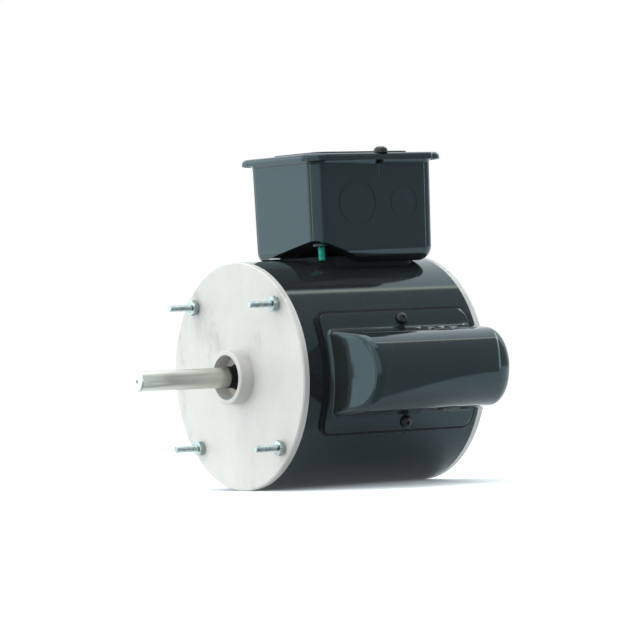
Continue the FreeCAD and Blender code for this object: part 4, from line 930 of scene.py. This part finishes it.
def cover_rows():
    """Arches along the cover, from the middle of its front face over the top to that of its rear."""
    right = math.pi / 2
    rows = [arch(FRONT_ROUND, right, front_y, narrow) for narrow in END_FACE]
    rows += [arch(FRONT_ROUND, right * (1 - step / ROUND_STEPS), front_y) for step in range(ROUND_STEPS)]
    first, last = arch(FRONT_ROUND, 0, front_y), arch(REAR_ROUND, 0, rear_y)
    count = round((REAR_PLANE - FRONT_FOOT) / ROW_SPACING)
    for step in range(count + 1):
        part = step / count
        row = []
        for (x, start, z), (_, end, _) in zip(first, last):
            y = start * (1 - part) + end * part
            row.append((x, y, z - math.copysign(notch_depth(y, x - FOOT_X), z)))
        rows.append(row)
    rows += [arch(REAR_ROUND, right * step / ROUND_STEPS, rear_y) for step in range(1, ROUND_STEPS + 1)]
    rows += [arch(REAR_ROUND, right, rear_y, narrow) for narrow in reversed(END_FACE)]
    return rows


def rolled(u, v, height=0.0):
    """A point of the unrolled flange, u round the shell and v along it, back on the flange."""
    turn = u / COVER_FLANGE_R
    r = COVER_FLANGE_R + height
    return r * math.cos(turn), v, r * math.sin(turn)


def flange_reach(u, v):
    """How far a point on the unrolled flange lies outside its rounded outline, negative inside."""
    across = abs(u) - (COVER_HALF_ARC - COVER_CORNER)
    along = abs(v - COVER_MIDDLE) - (COVER_HALF_LENGTH - COVER_CORNER)
    outside = math.hypot(max(across, 0), max(along, 0))
    return outside + min(max(across, along), 0) - COVER_CORNER


def reach_to_edge(u, v, out):
    """How far the flange's edge is from a point of it, in a direction."""
    low, high = FOOT_FILLET, FLANGE_REACH_MOST
    for _ in range(HALVINGS):
        half = (low + high) / 2
        if flange_reach(u + out[0] * half, v + out[1] * half) < 0:
            low = half
        else:
            high = half
    return low


def outward_from(plan):
    """The outward direction at each point of a closed outline round the cover's middle."""
    outward = []
    for i in range(len(plan)):
        (u0, v0), (u1, v1) = plan[i - 1], plan[(i + 1) % len(plan)]
        length = math.hypot(u1 - u0, v1 - v0)
        outward.append((-(v1 - v0) / length, (u1 - u0) / length))
    if sum(u * n[0] + (v - COVER_MIDDLE) * n[1] for (u, v), n in zip(plan, outward)) < 0:
        outward = [(-a, -b) for a, b in outward]
    return outward


def flange_rings(foot):
    """Rings from the foot of the tunnel down its fillet and over the flange to the flange's edge."""
    plan = [(COVER_FLANGE_R * math.atan2(z, x), y) for x, y, z in foot]
    outward = outward_from(plan)
    rings = [foot]
    for step in range(1, FILLET_STEPS + 1):
        turn = math.pi / 2 * step / FILLET_STEPS
        off, up = FOOT_FILLET * (1 - math.cos(turn)), FOOT_FILLET * (1 - math.sin(turn))
        rings.append([rolled(u + n[0] * off, v + n[1] * off, up) for (u, v), n in zip(plan, outward)])
    reaches = [reach_to_edge(u, v, n) for (u, v), n in zip(plan, outward)]
    for part in FLANGE_RINGS:
        ring = []
        for (u, v), n, reach in zip(plan, outward, reaches):
            off = FOOT_FILLET + (reach - FOOT_FILLET) * part
            ring.append(rolled(u + n[0] * off, v + n[1] * off))
        rings.append(ring)
    return rings


def make_cover():
    """Drawn cover: a rounded tunnel with notched sides, on a flange that is wrapped onto the shell."""
    rows = cover_rows()
    foot = [row[-1] for row in rows] + [row[0] for row in reversed(rows[1:-1])]
    cover = mesh_object("drawn_cover", joined([skin(rows, closed=False), skin(flange_rings(foot))]))
    wall = cover.modifiers.new("wall", "SOLIDIFY")
    wall.thickness = COVER_WALL * MM
    wall.offset = -1
    wall.use_quality_normals = True
    rim = cover.modifiers.new("rim", "BEVEL")
    rim.width = COVER_RIM * MM
    rim.segments = 2
    rim.limit_method = "ANGLE"
    rim.angle_limit = math.radians(COVER_RIM_ANGLE)
    frame_piece(baked(cover), "capacitor_cover", COVER_CREASE)


def make_gasket():
    """Thin rubber sheet between the cover's flange and the shell, with a rounded margin all round."""
    half_arc = (COVER_HALF_TURN + GASKET_MARGIN / SHELL_R) * SHELL_R
    outline = rounded_rectangle(half_arc, COVER_HALF_LENGTH + GASKET_MARGIN, COVER_CORNER + GASKET_MARGIN,
                                COVER_CORNER_STEPS)
    edge = []
    for (u0, v0), (u1, v1) in zip(outline, outline[1:] + outline[:1]):
        steps = max(1, round(math.hypot(u1 - u0, v1 - v0) / GASKET_SPACING))
        edge += [(u0 + (u1 - u0) * k / steps, v0 + (v1 - v0) * k / steps) for k in range(steps)]
    rings = []
    for shrink, r in ((GASKET_INNER, GASKET_LOW), (1.0, GASKET_LOW), (1.0, GASKET_HIGH),
                      (GASKET_INNER, GASKET_HIGH), (GASKET_INNER, GASKET_LOW)):
        rings.append([(r * math.cos(u * shrink / SHELL_R), COVER_MIDDLE + v * shrink,
                       r * math.sin(u * shrink / SHELL_R)) for u, v in edge])
    frame_piece(mesh_object("cover_gasket", skin(rings)), "capacitor_gasket", GASKET_CREASE)


# ---------------------------------------------------------------- conduit box

BOX_HALF_X = 36.95
BOX_HALF_Y = 47.05
BOX_Y = 85.70
BOX_SEAT = SHELL_R + 1.35
BOX_FOOT = BOX_SEAT - 4.2
BOX_HEIGHT = 62.10
BOX_TOP = BOX_SEAT + BOX_HEIGHT
BOX_LEAN = 0.80 / BOX_HEIGHT
BOX_DRAFT = math.atan(BOX_LEAN)
BOX_WALL = 1.50
BOX_ROUND = 9.00
BOX_CORNER_STEPS = 12
BOX_ROUND_STEPS = 8
BOX_CREASE = 40
SHARPEST = 0.05
# The flange at the top: how far it stands out, its thickness, the rounding under it, its corners, and
# how far its lower edge is broken, inwards and upwards
FLANGE_OUT = 4.35
FLANGE_THICK = 1.1
FLANGE_ROOT = 3.6
FLANGE_CORNER = 11.1
FLANGE_EDGE = (0.25, 0.3)
TRAY_PAST_TOP = 1.0
# Half the width of the channel that the floor is raised by over the saddle, and its cutter's reach
CHANNEL_HALF = BOX_HALF_X - 9.15
CHANNEL_REACH = 80
CHANNEL_DROP = 5
# The corner that is pressed in around the ground screw: three points of its flat, and its cutter
DENT = (Vector((-30, 39.5, 71.6)), Vector((36, 39.5, 83.8)), Vector((36, 68.7, 73.2)))
DENT_CUTTER = ((-90, -60, -60), (90, 60, 0))
# Where the lid's screws go through the flange, x and y from the middle, and their holes
LID_SCREW_AT = (38.50, 3.70)
LID_HOLE_R = 3.80 / 2
LID_HOLE_DROP = 12
LID_HOLE_LENGTH = 30
HOLE_STEPS = 32
# The knockouts on either side: diameter, and y from the middle
KNOCKOUTS = ((28.2, -14.7), (20.6, 21.3))
KNOCKOUT_HEIGHT = 33.0
GROOVE_WIDTH = 0.5
GROOVE_DEPTH = 0.35
GROOVE_STEPS = 72
# The round seat under the ground screw's head as (radius, height), and how far it lies below the head
SCREW_SEAT = ((2.6, 0), (4.9, 0), (5.5, 0.5), (5.5, 5.6), (5.2, 5.6), (5.2, 0.8), (2.6, 0.8), (2.6, 0))
SCREW_SEAT_DROP = 0.9
SCREW_SEAT_STEPS = 40


def tray(inset, flange):
    """The box's outside, or its inside when inset by the wall: tapered, with a rounded foot."""
    levels = []
    rounding = BOX_ROUND - inset
    foot = BOX_FOOT + inset
    for step in range(BOX_ROUND_STEPS + 1):
        turn = math.pi / 2 * (1 - step / BOX_ROUND_STEPS)
        inward = rounding * (1 - math.cos(turn))
        z = foot + rounding * (1 - math.sin(turn))
        levels.append((-inset - (BOX_TOP - z) * BOX_LEAN - inward, rounding - inward, z))
    if flange:
        under = BOX_TOP - FLANGE_THICK
        for step in range(BOX_ROUND_STEPS + 1):
            turn = math.pi / 2 * step / BOX_ROUND_STEPS
            narrowing = (FLANGE_THICK + FLANGE_ROOT) * BOX_LEAN * math.cos(turn)
            off = FLANGE_ROOT * (1 - math.cos(turn)) - narrowing
            corner = rounding + max(0, off) * (FLANGE_CORNER - rounding) / FLANGE_OUT
            levels.append((off, corner, under - FLANGE_ROOT * (1 - math.sin(turn))))
        inwards, upwards = FLANGE_EDGE
        levels += [(FLANGE_OUT - inwards, FLANGE_CORNER - inwards, under),
                   (FLANGE_OUT, FLANGE_CORNER, under + upwards),
                   (FLANGE_OUT, FLANGE_CORNER, BOX_TOP)]
    else:
        levels.append((-inset, rounding, BOX_TOP + TRAY_PAST_TOP))
    rings = []
    for off, corner, z in levels:
        corner = max(corner, SHARPEST)
        outline = rounded_rectangle(BOX_HALF_X + off, BOX_HALF_Y + off, corner, BOX_CORNER_STEPS)
        rings.append([(x, BOX_Y + y, z) for x, y in outline])
    return capped(rings)


def pressed(solid, inset):
    """A tray with the channel in its floor and the flat of the dent, both inset by the wall."""
    half = CHANNEL_HALF + inset
    channel = block((-half, BOX_Y - CHANNEL_REACH, BOX_FOOT - CHANNEL_DROP),
                    (half, BOX_Y + CHANNEL_REACH, BOX_SEAT + inset))
    a, b, c = DENT
    up = (b - a).cross(c - a).normalized()
    dent = placed(block(*DENT_CUTTER), (a + b + c) / 3 + up * inset, up, (b - a).normalized())
    return carved(carved(solid, channel), dent)


def knockout_groove(diameter):
    """A ring cutter for the score round a knockout, whose middle lies in the plane z = 0."""
    outer, inner = diameter / 2, diameter / 2 - GROOVE_WIDTH
    profile = ((outer, CLEAR), (outer, -GROOVE_DEPTH), (inner, -GROOVE_DEPTH), (inner, CLEAR))
    return skin(turned(profile + profile[:1], GROOVE_STEPS))


def make_box():
    """Drawn box: flanged rim, scored knockouts, a floor raised over the saddle and a pressed-in corner."""
    box = pressed(tray(0.0, True), 0.0)
    inside = pressed(tray(BOX_WALL, False), BOX_WALL)
    hole = lathe([(LID_HOLE_R, 0), (LID_HOLE_R, LID_HOLE_LENGTH)], HOLE_STEPS)
    x, y = LID_SCREW_AT
    for side in (1, -1):
        box = carved(box, placed(hole, (side * x, BOX_Y + side * y, BOX_TOP - LID_HOLE_DROP)))
    z = BOX_SEAT + KNOCKOUT_HEIGHT
    x = BOX_HALF_X - (BOX_TOP - z) * BOX_LEAN
    for side in (-1, 1):
        lean = Vector((side * math.cos(BOX_DRAFT), 0, -math.sin(BOX_DRAFT)))
        for diameter, y in KNOCKOUTS:
            middle = (side * x, BOX_Y + side * y, z)
            box = carved(box, placed(knockout_groove(diameter), middle, lean, (0, 1, 0)))
    box = carved(box, inside)
    (x, y, z), _ = ground_screw_seat()
    seat = placed(skin(turned(SCREW_SEAT, SCREW_SEAT_STEPS)), (x, y, z - SCREW_SEAT_DROP))
    frame_piece(mesh_object("drawn_box", joined([box, seat])), "conduit_box", BOX_CREASE, weighted=True)


# ---------------------------------------------------------------- scene

dress_nodes()
make_bolts()
make_lid_screws()
make_cover_screws()
make_ground_screw()
make_box()
make_gasket()
make_cover()
make_camera()
make_studio()
